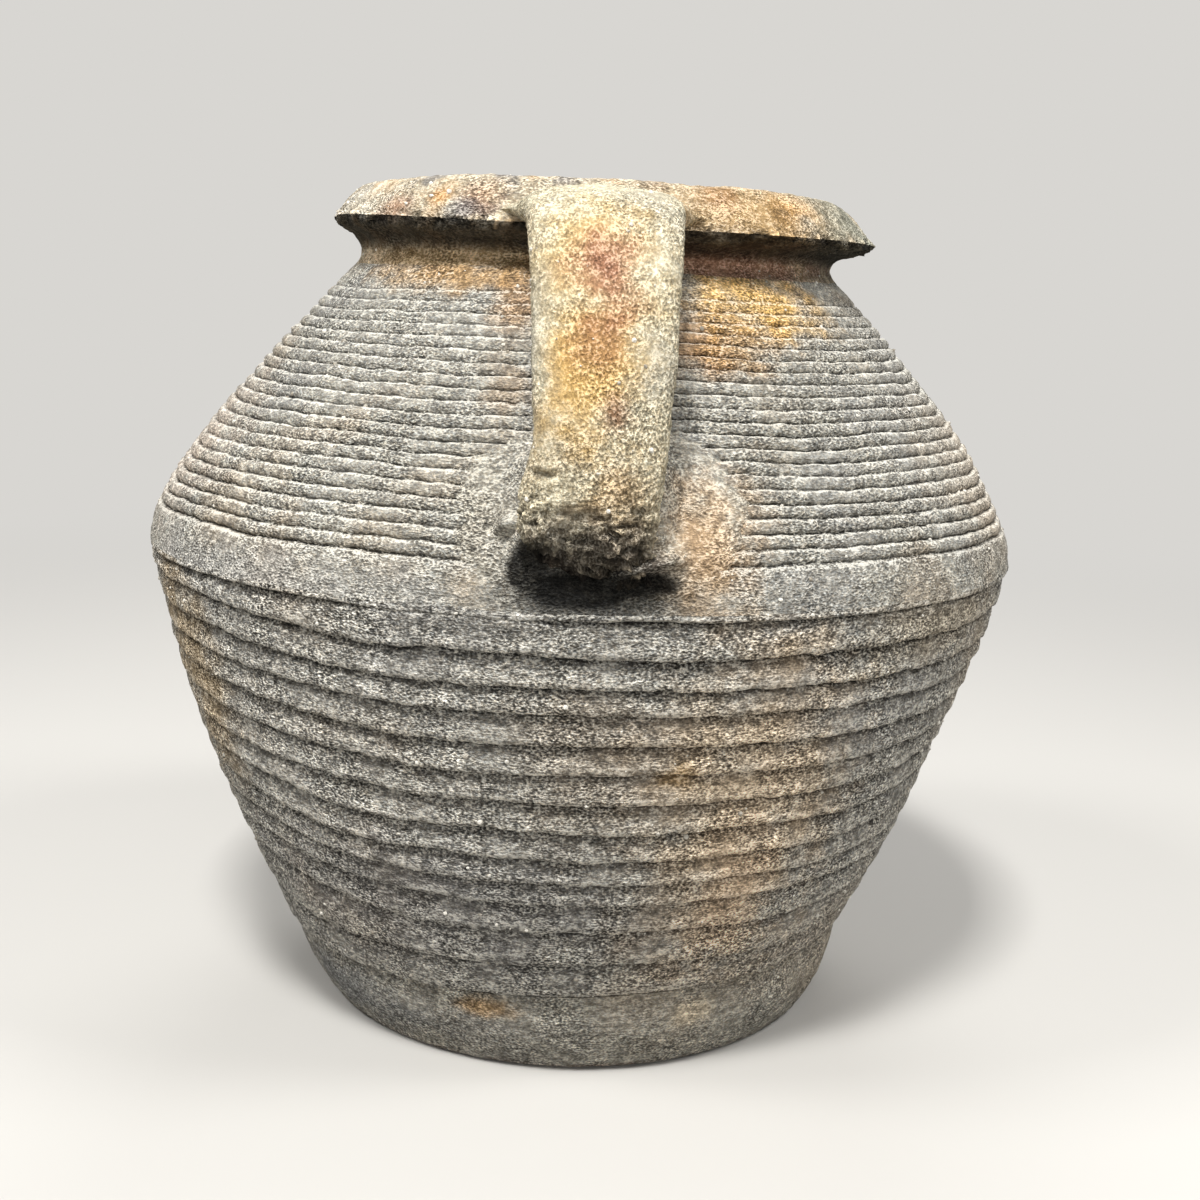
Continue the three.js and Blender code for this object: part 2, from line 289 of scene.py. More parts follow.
def across_band(tree, points, value):
    """A smooth curve through (place across the band, amount) points, read at a value."""
    curve = node(tree, "ShaderNodeFloatCurve", {"Value": value}).node
    made = curve.mapping.curves[0].points
    for position, amount in points[1:-1]:
        made.new(position, amount)
    for point, place in zip(made, points):
        point.location = place
    curve.mapping.update()
    return curve.outputs[0]


def moved(tree, given, move, name, value):
    """Ends a tree whose clay keeps a value under a name and has its points moved."""
    stored = {"Geometry": given["Mesh"], "Name": name, "Value": value}
    mesh = node(tree, "GeometryNodeStoreNamedAttribute", stored, data_type="FLOAT", domain="POINT")
    mesh = node(tree, "GeometryNodeSetPosition", {"Geometry": mesh, "Offset": move})
    return close_tree(tree, mesh, given["Clay"])


def hand_marks_tree():
    """The lumps that hands leave in coarse clay, the grit that stands out of it, and its torn facets."""
    tree, given = new_tree("hand_marks", POT_MARKS)
    place = node(tree, "GeometryNodeInputPosition")
    height = 0.0
    for label, detail in (("Lump", 3.0), ("Grit", 2.0)):
        scale = node(tree, "ShaderNodeMath", [1.0, given[label + " size"]], operation="DIVIDE")
        part = swing(tree, place, scale, detail, given["Seed"], given[label + " height"])
        height = node(tree, "ShaderNodeMath", [height, part], operation="ADD")
    height = node(tree, "ShaderNodeMath", [height, attribute(tree, "rough")], operation="MULTIPLY")
    flat = node(tree, "ShaderNodeVectorMath", [place, TORN_FLAT], operation="MULTIPLY")
    scale = node(tree, "ShaderNodeMath", [1.0, given["Torn size"]], operation="DIVIDE")
    bent = node(tree, "ShaderNodeTexNoise", {"Vector": flat, "W": given["Seed"], "Scale": scale, "Detail": 0.0},
                out="Color", noise_dimensions="4D")
    for size in (TORN_BEND, given["Torn size"]):
        bent = node(tree, "ShaderNodeVectorMath", [bent, size], operation="SCALE")
    bent = node(tree, "ShaderNodeVectorMath", [flat, bent], operation="ADD")
    flake = 0.0
    for finer, weight in TORN_LEVELS:
        # Each broken facet is a flat chip, set in or out and tipped its own way
        scaled = node(tree, "ShaderNodeMath", [scale, finer], operation="MULTIPLY")
        chip = node(tree, "ShaderNodeTexVoronoi", {"Vector": bent, "Scale": scaled}).node.outputs
        tip = node(tree, "ShaderNodeVectorMath", [chip["Color"], (0.5, 0.5, 0.5)], operation="SUBTRACT")
        off = node(tree, "ShaderNodeVectorMath", [bent, chip["Position"]], operation="SUBTRACT")
        off = node(tree, "ShaderNodeVectorMath", [off, scaled], operation="SCALE")
        lean, out = (node(tree, "ShaderNodeVectorMath", [tip, way], out="Value", operation="DOT_PRODUCT")
                     for way in (off, (TORN_OUT, 0.0, 0.0)))
        lean = node(tree, "ShaderNodeMath", [lean, TORN_TIP, out], operation="MULTIPLY_ADD")
        flake = node(tree, "ShaderNodeMath", [lean, weight, flake], operation="MULTIPLY_ADD")
    pit = node(tree, "ShaderNodeMath", [flake, attribute(tree, "torn")], operation="MULTIPLY")
    height = node(tree, "ShaderNodeMath", [pit, given["Torn height"], height], operation="MULTIPLY_ADD")
    outward = attribute(tree, "outward", "FLOAT_VECTOR")
    move = node(tree, "ShaderNodeVectorMath", [outward, height], operation="SCALE")
    return moved(tree, given, move, "pit", pit)


def new_material(name):
    """A new material, with its tree and its shader."""
    material = bpy.data.materials.new(name)
    material.use_nodes = True
    return material, material.node_tree, material.node_tree.nodes["Principled BSDF"]


def worked(piece, tree, sizes, clay_of_piece):
    """Runs a tree on a piece with its named sizes, and keeps what comes out as the piece's plain mesh."""
    modifier = piece.modifiers.new(tree.name, "NODES")
    modifier.node_group = tree
    given = {**sizes, "Clay": clay_of_piece}
    for socket in tree.interface.items_tree:
        if socket.in_out == "INPUT" and socket.name in given:
            modifier[socket.identifier] = given[socket.name]
    bpy.context.view_layer.update()
    seen = piece.evaluated_get(bpy.context.evaluated_depsgraph_get())
    mesh = bpy.data.meshes.new_from_object(seen)
    piece.modifiers.clear()
    piece.data = mesh


def dented(piece, dents):
    """Presses hollows into a piece: each has its middle, its half sizes in millimetres, and its depth."""
    places, outward = read(piece.data, "position"), read(piece.data, "outward")
    for middle, half_sizes, depth in dents:
        off = (places - middle) / (np.array(half_sizes) * MM)
        places = places - outward * (depth * MM * np.exp(-(off**4).sum(axis=1)))[:, None]
    write(piece.data, "position", places)


def paint_shade(piece, places):
    """Paints shade on a piece: each place has its middle, half sizes in millimetres and how dark it is painted.
    """
    points, soot = read(piece.data, "position"), read(piece.data, "soot")
    for middle, half_sizes, shade_strength in places:
        off = np.linalg.norm((points - middle) / (np.array(half_sizes) * MM), axis=1)
        soot = np.maximum(soot, shade_strength * ramp(off, 1.25, -0.4))
    write(piece.data, "soot", soot)


def spot(theta, height, radius):
    """A place on the pot, in metres: theta is in degrees from the handle's middle, to the right."""
    angle = np.radians(theta)
    return tuple(as_fired([[radius * np.sin(angle), -radius * np.cos(angle), height]])[0] * MM)


# The clay's streaks: drawn out round the pot, and set askew so that no grid shows in them
STREAK_DRAG = (3.6, 3.6, 0.38)
STREAK_TIP, STREAK_TURN = 4.0, 35.0
# How strongly single flecks of grit show, where the clay is smooth and where it is worn
FLECK_SMOOTH, FLECK_WORN = 0.9, 2.9
FLECK_SIZE, GRAIN_SIZE, STREAK_SIZE, PATCH_SIZE, WORN_SIZE = 0.55, 2.0, 1.0, 8.0, 9.0
# How strongly grain shows, how dark torn pits and places of painted shade are painted, and how far above its
# middle tone the clay lies
GRAIN_SHARE, PIT_PAINTED_SHADE, PAINTED_SHADE_DARK = 1.7, 2.4, 3.0
TONE_LIFT = 0.03
# Lime scurf: how pale it is, and the tones at which it begins and is full
SCURF_PALE = 1.35
SCURF_FROM, SCURF_FULL = 0.06, 0.22
# Where a stain ends and where it is full, as shares of its half size
STAIN_END, STAIN_FULL = 1.4, 0.15
WARM_GRAIN, COOL_GRAIN = (1.14, 1.0, 0.82, 1.0), (0.88, 1.0, 1.14, 1.0)
CLAY_ROUGHNESS, CLAY_SHINE = 0.95, 0.2


def clay(name, body, stains_and_shade, contrast, scurf=0.5, drag=(1.0, 1.0, 1.6), streak=0.5, band_shading=None, line=4.0,
         crest=0.5, crest_half=0.5, wear=0.1, crest_pale=0.15, veil=0.3, veil_size=45.0, mottle=0.3, relief=0.4,
         slant=0.0):
    """Unglazed gritty earthenware: dull all over, pale grit and dark pores in one tint, and pale lime scurf.

    Each stain, or patch of painted shade, is (colour, place, half width, half height, strength), soaked in with
    a broken edge. Where the clay is grooved, band_shading is the painted shade and highlight across each band,
    line how strongly it shows, and crest the part of the band where pale scurf lies, with crest_pale more scurf
    and a painted highlight there. Torn pits and places of painted shade are painted darker. veil is how
    strongly earth and smoke tint it in clouds, mottle how blotched it is, relief how far its grains stand out,
    in millimetres, and slant how its streaks lie, in degrees."""
    material, tree, shader = new_material(name)
    place = node(tree, "ShaderNodeTexCoord", out="Object")
    dragged = node(tree, "ShaderNodeVectorMath", [place, drag], operation="MULTIPLY")
    askew = np.radians([STREAK_TIP, slant, STREAK_TURN])
    streaked = node(tree, "ShaderNodeMapping", {"Vector": place, "Rotation": askew, "Scale": STREAK_DRAG},
                    vector_type="TEXTURE")
    # Each noise with the size of its spots, how many finer ones it has in it, and how strong those are
    noises = ((dragged, GRAIN_SIZE, 4.0, 0.72), (streaked, STREAK_SIZE, 2.0, 0.6),
              (place, PATCH_SIZE, 5.0, 0.62), (place, veil_size, 4.0, 0.5), (place, WORN_SIZE, 2.0, 0.5))
    grain, long, patch, cloud, worn = (
        node(tree, "ShaderNodeTexNoise",
             {"Vector": where, "Scale": 1 / (size * MM), "Detail": finer, "Roughness": strength})
        for where, size, finer, strength in noises
    )
    fleck = node(tree, "ShaderNodeTexNoise", {"Vector": dragged, "Scale": 1 / (FLECK_SIZE * MM), "Detail": 1.0},
                 out="Color")
    fleck = node(tree, "ShaderNodeSeparateColor", [fleck]).node.outputs

    # Each grain is a little warmer or cooler than the next
    tint = node(tree, "ShaderNodeMix", {"Factor": fleck[2], "A": WARM_GRAIN, "B": COOL_GRAIN}, data_type="RGBA")
    tint = node(tree, "ShaderNodeMix", {"Factor": 1.0, "A": tint, "B": linear(body)}, data_type="RGBA",
                blend_type="MULTIPLY")
    ends = {"From Min": 0.3, "From Max": 0.7, "To Min": -0.5, "To Max": 0.5}
    ragged = node(tree, "ShaderNodeMapRange", {"Value": patch, **ends}, clamp=False)
    soaked_and_shaded = [(cloud, 0.5, 0.68, veil, EARTH_STAIN), (cloud, 0.5, 0.34, veil, SMOKE_VEIL)]
    for colour, centre, across, upward, strength in stains_and_shade:
        sizes = (across * MM, across * MM, upward * MM)
        far = node(tree, "ShaderNodeMapping", {"Vector": place, "Location": centre, "Scale": sizes},
                   vector_type="TEXTURE")
        far = node(tree, "ShaderNodeVectorMath", [far], out="Value", operation="LENGTH")
        far = node(tree, "ShaderNodeMath", [far, ragged], operation="ADD")
        soaked_and_shaded.append((far, STAIN_END, STAIN_FULL, strength, colour))
    for value, none, full, strength, colour in soaked_and_shaded:
        share = node(tree, "ShaderNodeMapRange",
                     {"Value": value, "From Min": none, "From Max": full, "To Max": strength},
                     interpolation_type="SMOOTHSTEP")
        tint = node(tree, "ShaderNodeMix", {"Factor": share, "A": tint, "B": linear(colour)}, data_type="RGBA")

    # The clay is worn to its grit in some places and smooth in others
    ends = {"From Min": 0.36, "From Max": 0.64, "To Min": FLECK_SMOOTH, "To Max": FLECK_WORN}
    worn = node(tree, "ShaderNodeMapRange", {"Value": worn, **ends})
    tone = TONE_LIFT
    for part, amount in ((fleck[0], worn), (grain, GRAIN_SHARE), (long, streak), (patch, mottle)):
        part = node(tree, "ShaderNodeMath", [part, 0.5], operation="SUBTRACT")
        tone = node(tree, "ShaderNodeMath", [part, amount, tone], operation="MULTIPLY_ADD")
    depth = node(tree, "ShaderNodeMath", [tone, contrast], operation="MULTIPLY")
    pit, soot = (node(tree, "ShaderNodeAttribute", out="Fac", attribute_name=mark) for mark in ("pit", "soot"))
    # Torn pits are painted darker, as painted shade in them
    depth = node(tree, "ShaderNodeMath", [pit, PIT_PAINTED_SHADE, depth], operation="MULTIPLY_ADD")
    crust = tone
    # Painted shade and highlight across each band of a grooved wall, set by where the point lies in its band
    if band_shading:
        turn, sunk = (node(tree, "ShaderNodeAttribute", out="Fac", attribute_name=mark)
                      for mark in ("turn", "sunk"))
        ragged = node(tree, "ShaderNodeMath", [grain, 0.5], operation="SUBTRACT")
        turn = node(tree, "ShaderNodeMath", [ragged, wear, turn], operation="MULTIPLY_ADD")
        pale = across_band(tree, band_shading, node(tree, "ShaderNodeMath", [turn], operation="FRACT"))
        pale = node(tree, "ShaderNodeMath", [pale, 0.5], operation="SUBTRACT")
        pale = node(tree, "ShaderNodeMath", [pale, line], operation="MULTIPLY")
        depth = node(tree, "ShaderNodeMath", [pale, sunk, depth], operation="MULTIPLY_ADD")
        # Pale scurf on the band's crest, made paler there also as a painted highlight
        off_crest = node(tree, "ShaderNodeMath", [turn, crest], operation="SUBTRACT")
        off_crest = node(tree, "ShaderNodeMath", [off_crest, 0.5], operation="PINGPONG")
        lift = node(tree, "ShaderNodeMapRange", {"Value": off_crest, "From Max": crest_half, "To Min": crest_pale,
                                                 "To Max": -crest_pale})
        crust = node(tree, "ShaderNodeMath", [tone, lift], operation="ADD")
    strength = node(tree, "ShaderNodeMath", [2.0, depth], operation="POWER")
    colour = node(tree, "ShaderNodeVectorMath", [tint, strength], operation="SCALE")
    share = node(tree, "ShaderNodeMapRange",
                 {"Value": crust, "From Min": SCURF_FROM, "From Max": SCURF_FULL, "To Max": scurf},
                 interpolation_type="SMOOTHSTEP")
    pale = node(tree, "ShaderNodeMix", {"Factor": 0.5, "A": tint, "B": linear(LIME_SCURF)}, data_type="RGBA")
    pale = node(tree, "ShaderNodeVectorMath", [pale, SCURF_PALE], operation="SCALE")
    colour = node(tree, "ShaderNodeMix", {"Factor": share, "A": colour, "B": pale}, data_type="RGBA")
    # Painted shade, darkest where the points carry most of it
    soot = node(tree, "ShaderNodeMath", [soot, -PAINTED_SHADE_DARK], operation="MULTIPLY")
    soot = node(tree, "ShaderNodeMath", [2.0, soot], operation="POWER")
    colour = node(tree, "ShaderNodeVectorMath", [colour, soot], operation="SCALE")
    tree.links.new(colour, shader.inputs["Base Color"])
    shader.inputs["Roughness"].default_value = CLAY_ROUGHNESS
    shader.inputs["Specular IOR Level"].default_value = CLAY_SHINE
    bump = node(tree, "ShaderNodeBump", {"Height": tone, "Strength": 1.0, "Distance": relief * MM})
    tree.links.new(bump, shader.inputs["Normal"])
    return material


foot_clay = clay(
    "turned_grey_earthenware", FOOT_CLAY,
    [
        ("#b9925c", spot(-15, 14.5, 60), 7.0, 2.4, 0.7),
        ("#c4b398", spot(24, 12, 59), 5.0, 4.0, 0.7),
        (BURNT_EDGE, spot(0, 0, 53), 52.0, 1.4, 0.5),
        ("#757a80", spot(-45, 9, 58), 22.0, 7.0, 0.5),
    ],
    contrast=2.8, scurf=0.2, veil=0.2, mottle=0.6,
)
hand_marks = hand_marks_tree()
foot_wall = bowed([BASE_R + BASE_ROUND, BASE_ROUND], [FOOT_TOP_R, FOOT_H], FOOT_SWELL)
foot_inner_r = FOOT_TOP_R + FOOT_STEP - WALL
chamfer = (FOOT_H - FLOOR) / 2
under = bezier([1.0, BASE_HOLLOW], [BASE_R - 6, BASE_HOLLOW], [BASE_R - 0.5, BASE_RISE])
edge = bezier([BASE_R - 0.5, BASE_RISE], [BASE_R + 0.9, BASE_RISE], [BASE_R + BASE_ROUND, BASE_ROUND])
inside_slope = bezier([foot_inner_r, FOOT_H], [foot_inner_r - chamfer, FLOOR])
inside_floor = bezier([foot_inner_r - chamfer, FLOOR], [1.0, FLOOR])
foot_rows = [
    section_rows(curve, steps(0, curve[1][-1], row)[start:], rough=rough)
    for curve, row, start, rough in (
        (under, COARSE_ROW, 0, 0.1), (edge, 0.4, 1, 0.2), (foot_wall, FINE_ROW, 1, 0.8),
        (inside_slope, COARSE_ROW, 0, 0.4), (inside_floor, COARSE_ROW, 1, 0.4),
    )
]
foot_edge = sum(len(rows) for rows in foot_rows[:3]) - 1
foot = turned("foot", np.concatenate(foot_rows), corners=(foot_edge, foot_edge + 1), poles=True)
worked(foot, hand_marks, POT_MARKS, foot_clay)
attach(foot, "root")
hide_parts("foot_base")


# Lower wall: thrown up from the foot to the belly and ribbed with the edge of a tool as the wheel turned. Each
# rib rolls out over the crease below it, with painted shade and highlight across it. The clay is darker than
# the shoulder's, partly its own grey and partly painted shade for a wall that faces down, and a tan stain runs
# down it on the right.
lower_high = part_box("lower_wall")[1]
BELLY_R, BELLY_Z = 89.9, lower_high[2] / MM
LOWER_SWELL = 2.3
RIB_DEPTH = 1.6
# The two walls meet just above the belly's crease, where both are plain
JOINT_RISE = 1.6
JOINT_Z = BELLY_Z + JOINT_RISE
# Along this much of the joint, in degrees from the handle's middle, the crease was wiped almost flat
WIPED_FROM, WIPED_TO, WIPED_Z = -30.0, 0.0, 92.0
WIPED_SHARE = 0.85
BELLY_CRACK = (6.0, 4.0, 0.55)
BELLY_CRACK_DEPTH = 1.4
# The height of each crease at the handle's side, from the foot line up: the tool was moved on by hand
CREASES = (17.8, 25.2, 33.5, 40.5, 45, 50, 56, 61.8, 67.5, 73, 78.8, 83.5, 89.5, 96.2)
WEAK_RIBS = ((17.5, 0.9), (19, 0.35), (33, 0.55), (42, 0.8), (60, 1.0), (96.3, 1.0), (97.5, 0.0))
# The creases climb by a turn round the left side, as the potter's hand did, and come level again at the back
CLIMB_FROM, CLIMB_TO, CLIMB_Z = -150.0, -15.0, 20.0
CLIMB = 0.8
# A little darker than the shoulder's clay: partly its own grey, partly painted shade for a wall that faces down
LOWER_CLAY = "#99968f"
# How often, to the metre, a groove wanders, its edge frays and its depth changes, and how each is drawn out
WANDER_SCALE, FRAY_SCALE, DEPTH_SCALE = 26.0, 300.0, 20.0
WANDER_DRAG, FRAY_DRAG, DEPTH_DRAG = (1.0, 1.0, 1.6), (1.0, 1.0, 1.0), (1.0, 1.0, 9.0)


def grooves_tree(name, profile):
    """Grooves round a wall: turn counts them up the wall, and profile is how deep each lies across its band.
    The rows of the mesh follow each groove as it wanders up and down."""
    tree, given = new_tree(name, ("Depth", "Wander", "Raggedness", "Unevenness", "Seed"))
    place = node(tree, "GeometryNodeInputPosition")
    shift = 0.0
    for label, drag, scale in (("Wander", WANDER_DRAG, WANDER_SCALE), ("Raggedness", FRAY_DRAG, FRAY_SCALE)):
        dragged = node(tree, "ShaderNodeVectorMath", [place, drag], operation="MULTIPLY")
        part = swing(tree, dragged, scale, 2.0, given["Seed"], given[label])
        shift = node(tree, "ShaderNodeMath", [shift, part], operation="ADD")
    across = node(tree, "ShaderNodeMath", [attribute(tree, "turn")], operation="FRACT")
    bands = node(tree, "ShaderNodeVectorMath", [place, DEPTH_DRAG], operation="MULTIPLY")
    strength = swing(tree, bands, DEPTH_SCALE, 2.0, given["Seed"], given["Unevenness"])
    for operation, by in (("ADD", 1.0), ("MAXIMUM", 0.0), ("MULTIPLY", attribute(tree, "share"))):
        strength = node(tree, "ShaderNodeMath", [strength, by], operation=operation)
    inward = across_band(tree, profile, across)
    for by in (strength, given["Depth"]):
        inward = node(tree, "ShaderNodeMath", [inward, by], operation="MULTIPLY")
    slid, sunk = (
        node(tree, "ShaderNodeVectorMath", [attribute(tree, way, "FLOAT_VECTOR"), by], operation="SCALE")
        for way, by in (("slide", shift), ("outward", inward))
    )
    move = node(tree, "ShaderNodeVectorMath", [slid, sunk], operation="SUBTRACT")
    return moved(tree, given, move, "sunk", strength)


def wall_piece(name, curve, outside, inner_top, inner_foot):
    """A piece of the wall from its outside rows. Its inside follows the curve, between two inner edges."""
    inside = section_rows(curve, steps(curve[1][-1], 0, COARSE_ROW * 3), depth=WALL, side=-1.0, rough=0.5)
    inside[0, :OUT_R], inside[-1, :OUT_R] = inner_top, inner_foot
    top = len(outside)
    return turned(name, np.concatenate([outside, inside]), corners=(0, top - 1, top, -1))


RIB_SECTION = ((0, 1), (0.03, 0.52), (0.07, 0.18), (0.13, 0.02), (0.26, 0), (0.45, 0.09), (0.62, 0.2),
               (0.77, 0.33), (0.88, 0.47), (0.955, 0.66), (1, 1))
# Painted shade and highlight across each rib: black painted shade in the crease, a painted highlight where it
# rolls over, and painted shade darkening towards the next crease, under the roll above it
RIB_PAINTED_SHADING = ((0, 0), (0.035, 0.18), (0.075, 0.53), (0.2, 0.61), (0.45, 0.55), (0.7, 0.47), (0.9, 0.36),
             (0.97, 0.12), (1, 0))
ribs = grooves_tree("thrown_ribs", RIB_SECTION)
lower_curve = joined(bowed([FOOT_TOP_R + FOOT_STEP, FOOT_H], [BELLY_R, BELLY_Z], LOWER_SWELL),
                     bezier([BELLY_R, BELLY_Z], [BELLY_R, JOINT_Z]))
rib_heights = [low + (high - low) * share
               for low, high in zip(CREASES, CREASES[1:]) for share, _ in RIB_SECTION[:-1]]
rib_heights = [FOOT_H] + [height for height in rib_heights if height > FOOT_H + 0.1]
rib_heights += list(steps(CREASES[-1], JOINT_Z, 0.2))
lower_out = section_rows(lower_curve, np.interp(rib_heights, lower_curve[0][:, 1], lower_curve[1]))
heights = lower_out[:, HEIGHT]
lower_out[:, TURN] = np.interp(heights, (*CREASES, JOINT_Z), (*range(len(CREASES)), len(CREASES) - 0.7))
lower_out[:, SHARE] = np.interp(heights, *np.transpose(WEAK_RIBS))
lower_out[:, SLIDE] = np.interp(heights, CREASES[:-1], np.diff(CREASES))
lower_out[:, SLIDE] *= ramp(heights, FOOT_H, 4) * ramp(heights, JOINT_Z, -4.5)
lower_out[-1, OUT_R:TURN] = 1.0, 0.0
lower = wall_piece("lower", lower_curve, lower_out, (BELLY_R - WALL, JOINT_Z), (foot_inner_r, FOOT_H))

spots, slides, shares = (read(lower.data, name) for name in ("position", "slide", "share"))
angles, heights = np.degrees(np.arctan2(spots[:, 0], -spots[:, 1])), spots[:, 2] / MM
climb = np.sin(np.pi * ramp(angles, CLIMB_FROM, CLIMB_TO - CLIMB_FROM)) ** 2
climb *= ramp(heights, BELLY_Z, -8) * ramp(heights, CLIMB_Z, 15)
write(lower.data, "position", spots + CLIMB * climb[:, None] * slides)
wiped = ramp(angles, WIPED_FROM, 8) * ramp(angles, WIPED_TO, -6) * ramp(heights, WIPED_Z, 3)
write(lower.data, "share", shares * (1 - WIPED_SHARE * wiped))

dented(lower, [(spot(7, BELLY_Z + 0.2, BELLY_R), BELLY_CRACK, BELLY_CRACK_DEPTH)])
# The ribs get painted shade in their creases and a painted highlight where they roll over
lower_clay = clay(
    "ribbed_earthenware_with_painted_shade", LOWER_CLAY,
    [
        ("#c9b294", spot(24, 58, 78), 20.0, 48.0, 0.8),
        ("#cfb292", spot(25, 40, 72), 9.0, 24.0, 0.6),
        ("#bd9659", spot(13, 68, 82), 3.4, 2.4, 0.6),
        ("#a88a58", spot(-60, 75, 85), 16.0, 24.0, 0.55),
        ("#a99a82", spot(48, 92, 89), 26.0, 8.0, 0.6),
        ("#6f6d6d", spot(-20, 38, 70), 45.0, 16.0, 0.45),
    ],
    contrast=3.9, scurf=0.5, band_shading=RIB_PAINTED_SHADING, line=4.2, crest=0.2, crest_pale=0.14, veil=0.2,
)
rib_sizes = {"Depth": RIB_DEPTH * MM, "Wander": 0.16, "Raggedness": 0.07, "Unevenness": 0.45, "Seed": 5.0}
worked(lower, ribs, rib_sizes, lower_clay)
worked(lower, hand_marks, POT_MARKS, lower_clay)
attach(lower, "root")
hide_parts("lower_wall")


# Shoulder: a second band of thrown clay, joined on at the belly and drawn in to the neck. A comb was held
# against it as it turned, so close lines run round it between rounded bands, with a plain band below them.
shoulder_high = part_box("shoulder_wall")[1]
NECK_Z = shoulder_high[2] / MM
NECK_R = 50.0
BELLY_TURN = 10.5
NECK_RUN = 31.5
MOUTH_R = 42.8
COMB_PITCH = 2.7
COMB_DEPTH = 0.72
BELLY_BAND = 9.5
NECK_BAND = 6.0
# Where the rows of the mesh lie across each comb line's band, close together in the line
COMB_ROWS = (0.0, 0.07, 0.18, 0.4, 0.68, 0.88)
SHOULDER_CLAY = "#a5a299"
# Painted shadow that the handle's elbow casts on the wall and the smear below it: each place with its half
# sizes and how dark it is painted
ELBOW_PAINTED_SHADOW = [(spot(-0.6, 101.4, 91), (8.6, 9.0, 3.0), 1.45), (spot(5.4, 102.6, 91), (7.0, 9.0, 2.0), 1.35),
              (spot(-5.5, 104.6, 91), (3.2, 9.0, 4.2), 1.2), (spot(1.0, 100.6, 91), (13.0, 9.0, 4.4), 0.6),
              (spot(1.5, 99.5, 91), (16.0, 9.0, 6.5), 0.28)]

shoulder_curve = bezier([BELLY_R, BELLY_Z], [BELLY_R, BELLY_Z + BELLY_TURN],
                        [NECK_R + NECK_RUN, NECK_Z - NECK_RUN], [NECK_R, NECK_Z])
shoulder_run = shoulder_curve[1][-1]
comb_end = shoulder_run - NECK_BAND
comb_count = int(round((comb_end - BELLY_BAND) / COMB_PITCH))
comb_step = (comb_end - BELLY_BAND) / comb_count
band_runs = steps(JOINT_RISE, BELLY_BAND - 0.7, 0.55)
comb_runs = np.array([BELLY_BAND + (k + share) * comb_step for k in range(comb_count) for share in COMB_ROWS])
neck_runs = steps(comb_end, shoulder_run, 0.6)
runs = np.concatenate([band_runs, comb_runs, neck_runs])
shoulder_out = section_rows(shoulder_curve, runs)
shoulder_out[0, :TURN] = BELLY_R, JOINT_Z, 1.0, 0.0
shoulder_out[:, TURN] = np.interp(runs, [JOINT_RISE, BELLY_BAND - 1, BELLY_BAND, comb_end],
                                  [0.3, 0.7, 1, 1 + comb_count])
shoulder_out[:, TURN] += np.clip((runs - comb_end) / comb_step, 0, 0.5)
weak_lines = ((JOINT_RISE, 0), (JOINT_RISE + 2, 0.3), (BELLY_BAND - 1, 0.2), (BELLY_BAND, 1.25),
              (comb_end - 8, 1.0), (comb_end + 1, 0.5))
shoulder_out[:, SHARE] = np.interp(runs, *np.transpose(weak_lines))
shoulder_out[:, SLIDE] = comb_step * ramp(runs, shoulder_run, -3) * ramp(runs, JOINT_RISE, 3)
shoulder = wall_piece("shoulder", shoulder_curve, shoulder_out, (MOUTH_R, NECK_Z), (BELLY_R - WALL, JOINT_Z))
COMB_SECTION = ((0, 1), (0.06, 0.8), (0.16, 0.27), (0.42, 0), (0.66, 0.06), (0.88, 0.4), (1, 1))
# Painted shade and highlight across each comb band: black painted shade in the line, a painted highlight on the
# band's upper part, where it faces up below the next line
COMB_PAINTED_SHADING = ((0, 0), (0.05, 0.2), (0.13, 0.46), (0.3, 0.5), (0.6, 0.5), (0.85, 0.58), (0.94, 0.4), (1, 0))
comb = grooves_tree("combing", COMB_SECTION)
# The comb bands get painted shade in their lines and a painted highlight where they face up
shoulder_clay = clay(
    "combed_weathered_earthenware", SHOULDER_CLAY,
    [
        ("#c3a076", spot(15, 112, 86), 9.0, 17.0, 0.7),
        ("#b78b5a", spot(17, 142, 62), 6.5, 17.0, 0.65),
        ("#dcb26c", spot(34, 148, 56), 17.0, 6.5, 0.98),
        ("#c79a5c", spot(25, 143, 62), 10.0, 8.0, 0.6),
        ("#b08c5c", spot(-30, 151.5, 52), 24.0, 4.0, 0.85),
        ("#b58a58", spot(-14, 146, 57), 7.0, 6.0, 0.6),
        ("#b08a5c", spot(-12, 132, 70), 4.0, 12.0, 0.3),
        ("#c7b6a4", spot(-72, 118, 82), 22.0, 20.0, 0.7),
        ("#c3b5a2", spot(68, 116, 82), 22.0, 22.0, 0.6),
        ("#b0ada7", spot(-40, 98, 89), 40.0, 6.0, 0.6),
    ],
    contrast=2.7, scurf=0.8, streak=0.4, band_shading=COMB_PAINTED_SHADING, crest=0.82, crest_half=0.26, wear=0.2, crest_pale=0.3,
    veil=0.25, veil_size=22.0,
)
# Painted shadow of the handle's elbow on the shoulder
paint_shade(shoulder, ELBOW_PAINTED_SHADOW)
comb_sizes = {"Depth": COMB_DEPTH * MM, "Wander": 0.22, "Raggedness": 0.1, "Unevenness": 0.5, "Seed": 5.0}
worked(shoulder, comb, comb_sizes, shoulder_clay)
worked(shoulder, hand_marks, POT_MARKS, shoulder_clay)
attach(shoulder, "root")
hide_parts("shoulder_wall")


# Neck and rim: a short hollow neck, and a thick collar turned out over it to hold a lid. Its sloping face is
# worn, its lower lip is chipped all round, and ochre and rust have soaked into it.
rim_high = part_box("neck_rim")[1]
RIM_TOP_R, RIM_TOP_Z = 46.4, rim_high[2] / MM
RIM_TIP_R, RIM_TIP_Z = rim_high[0] / MM, 160.6
RIM_ROW = 0.45
LIP_EDGE = 0.12
RIM_SIDE_SHIFT = 1.5
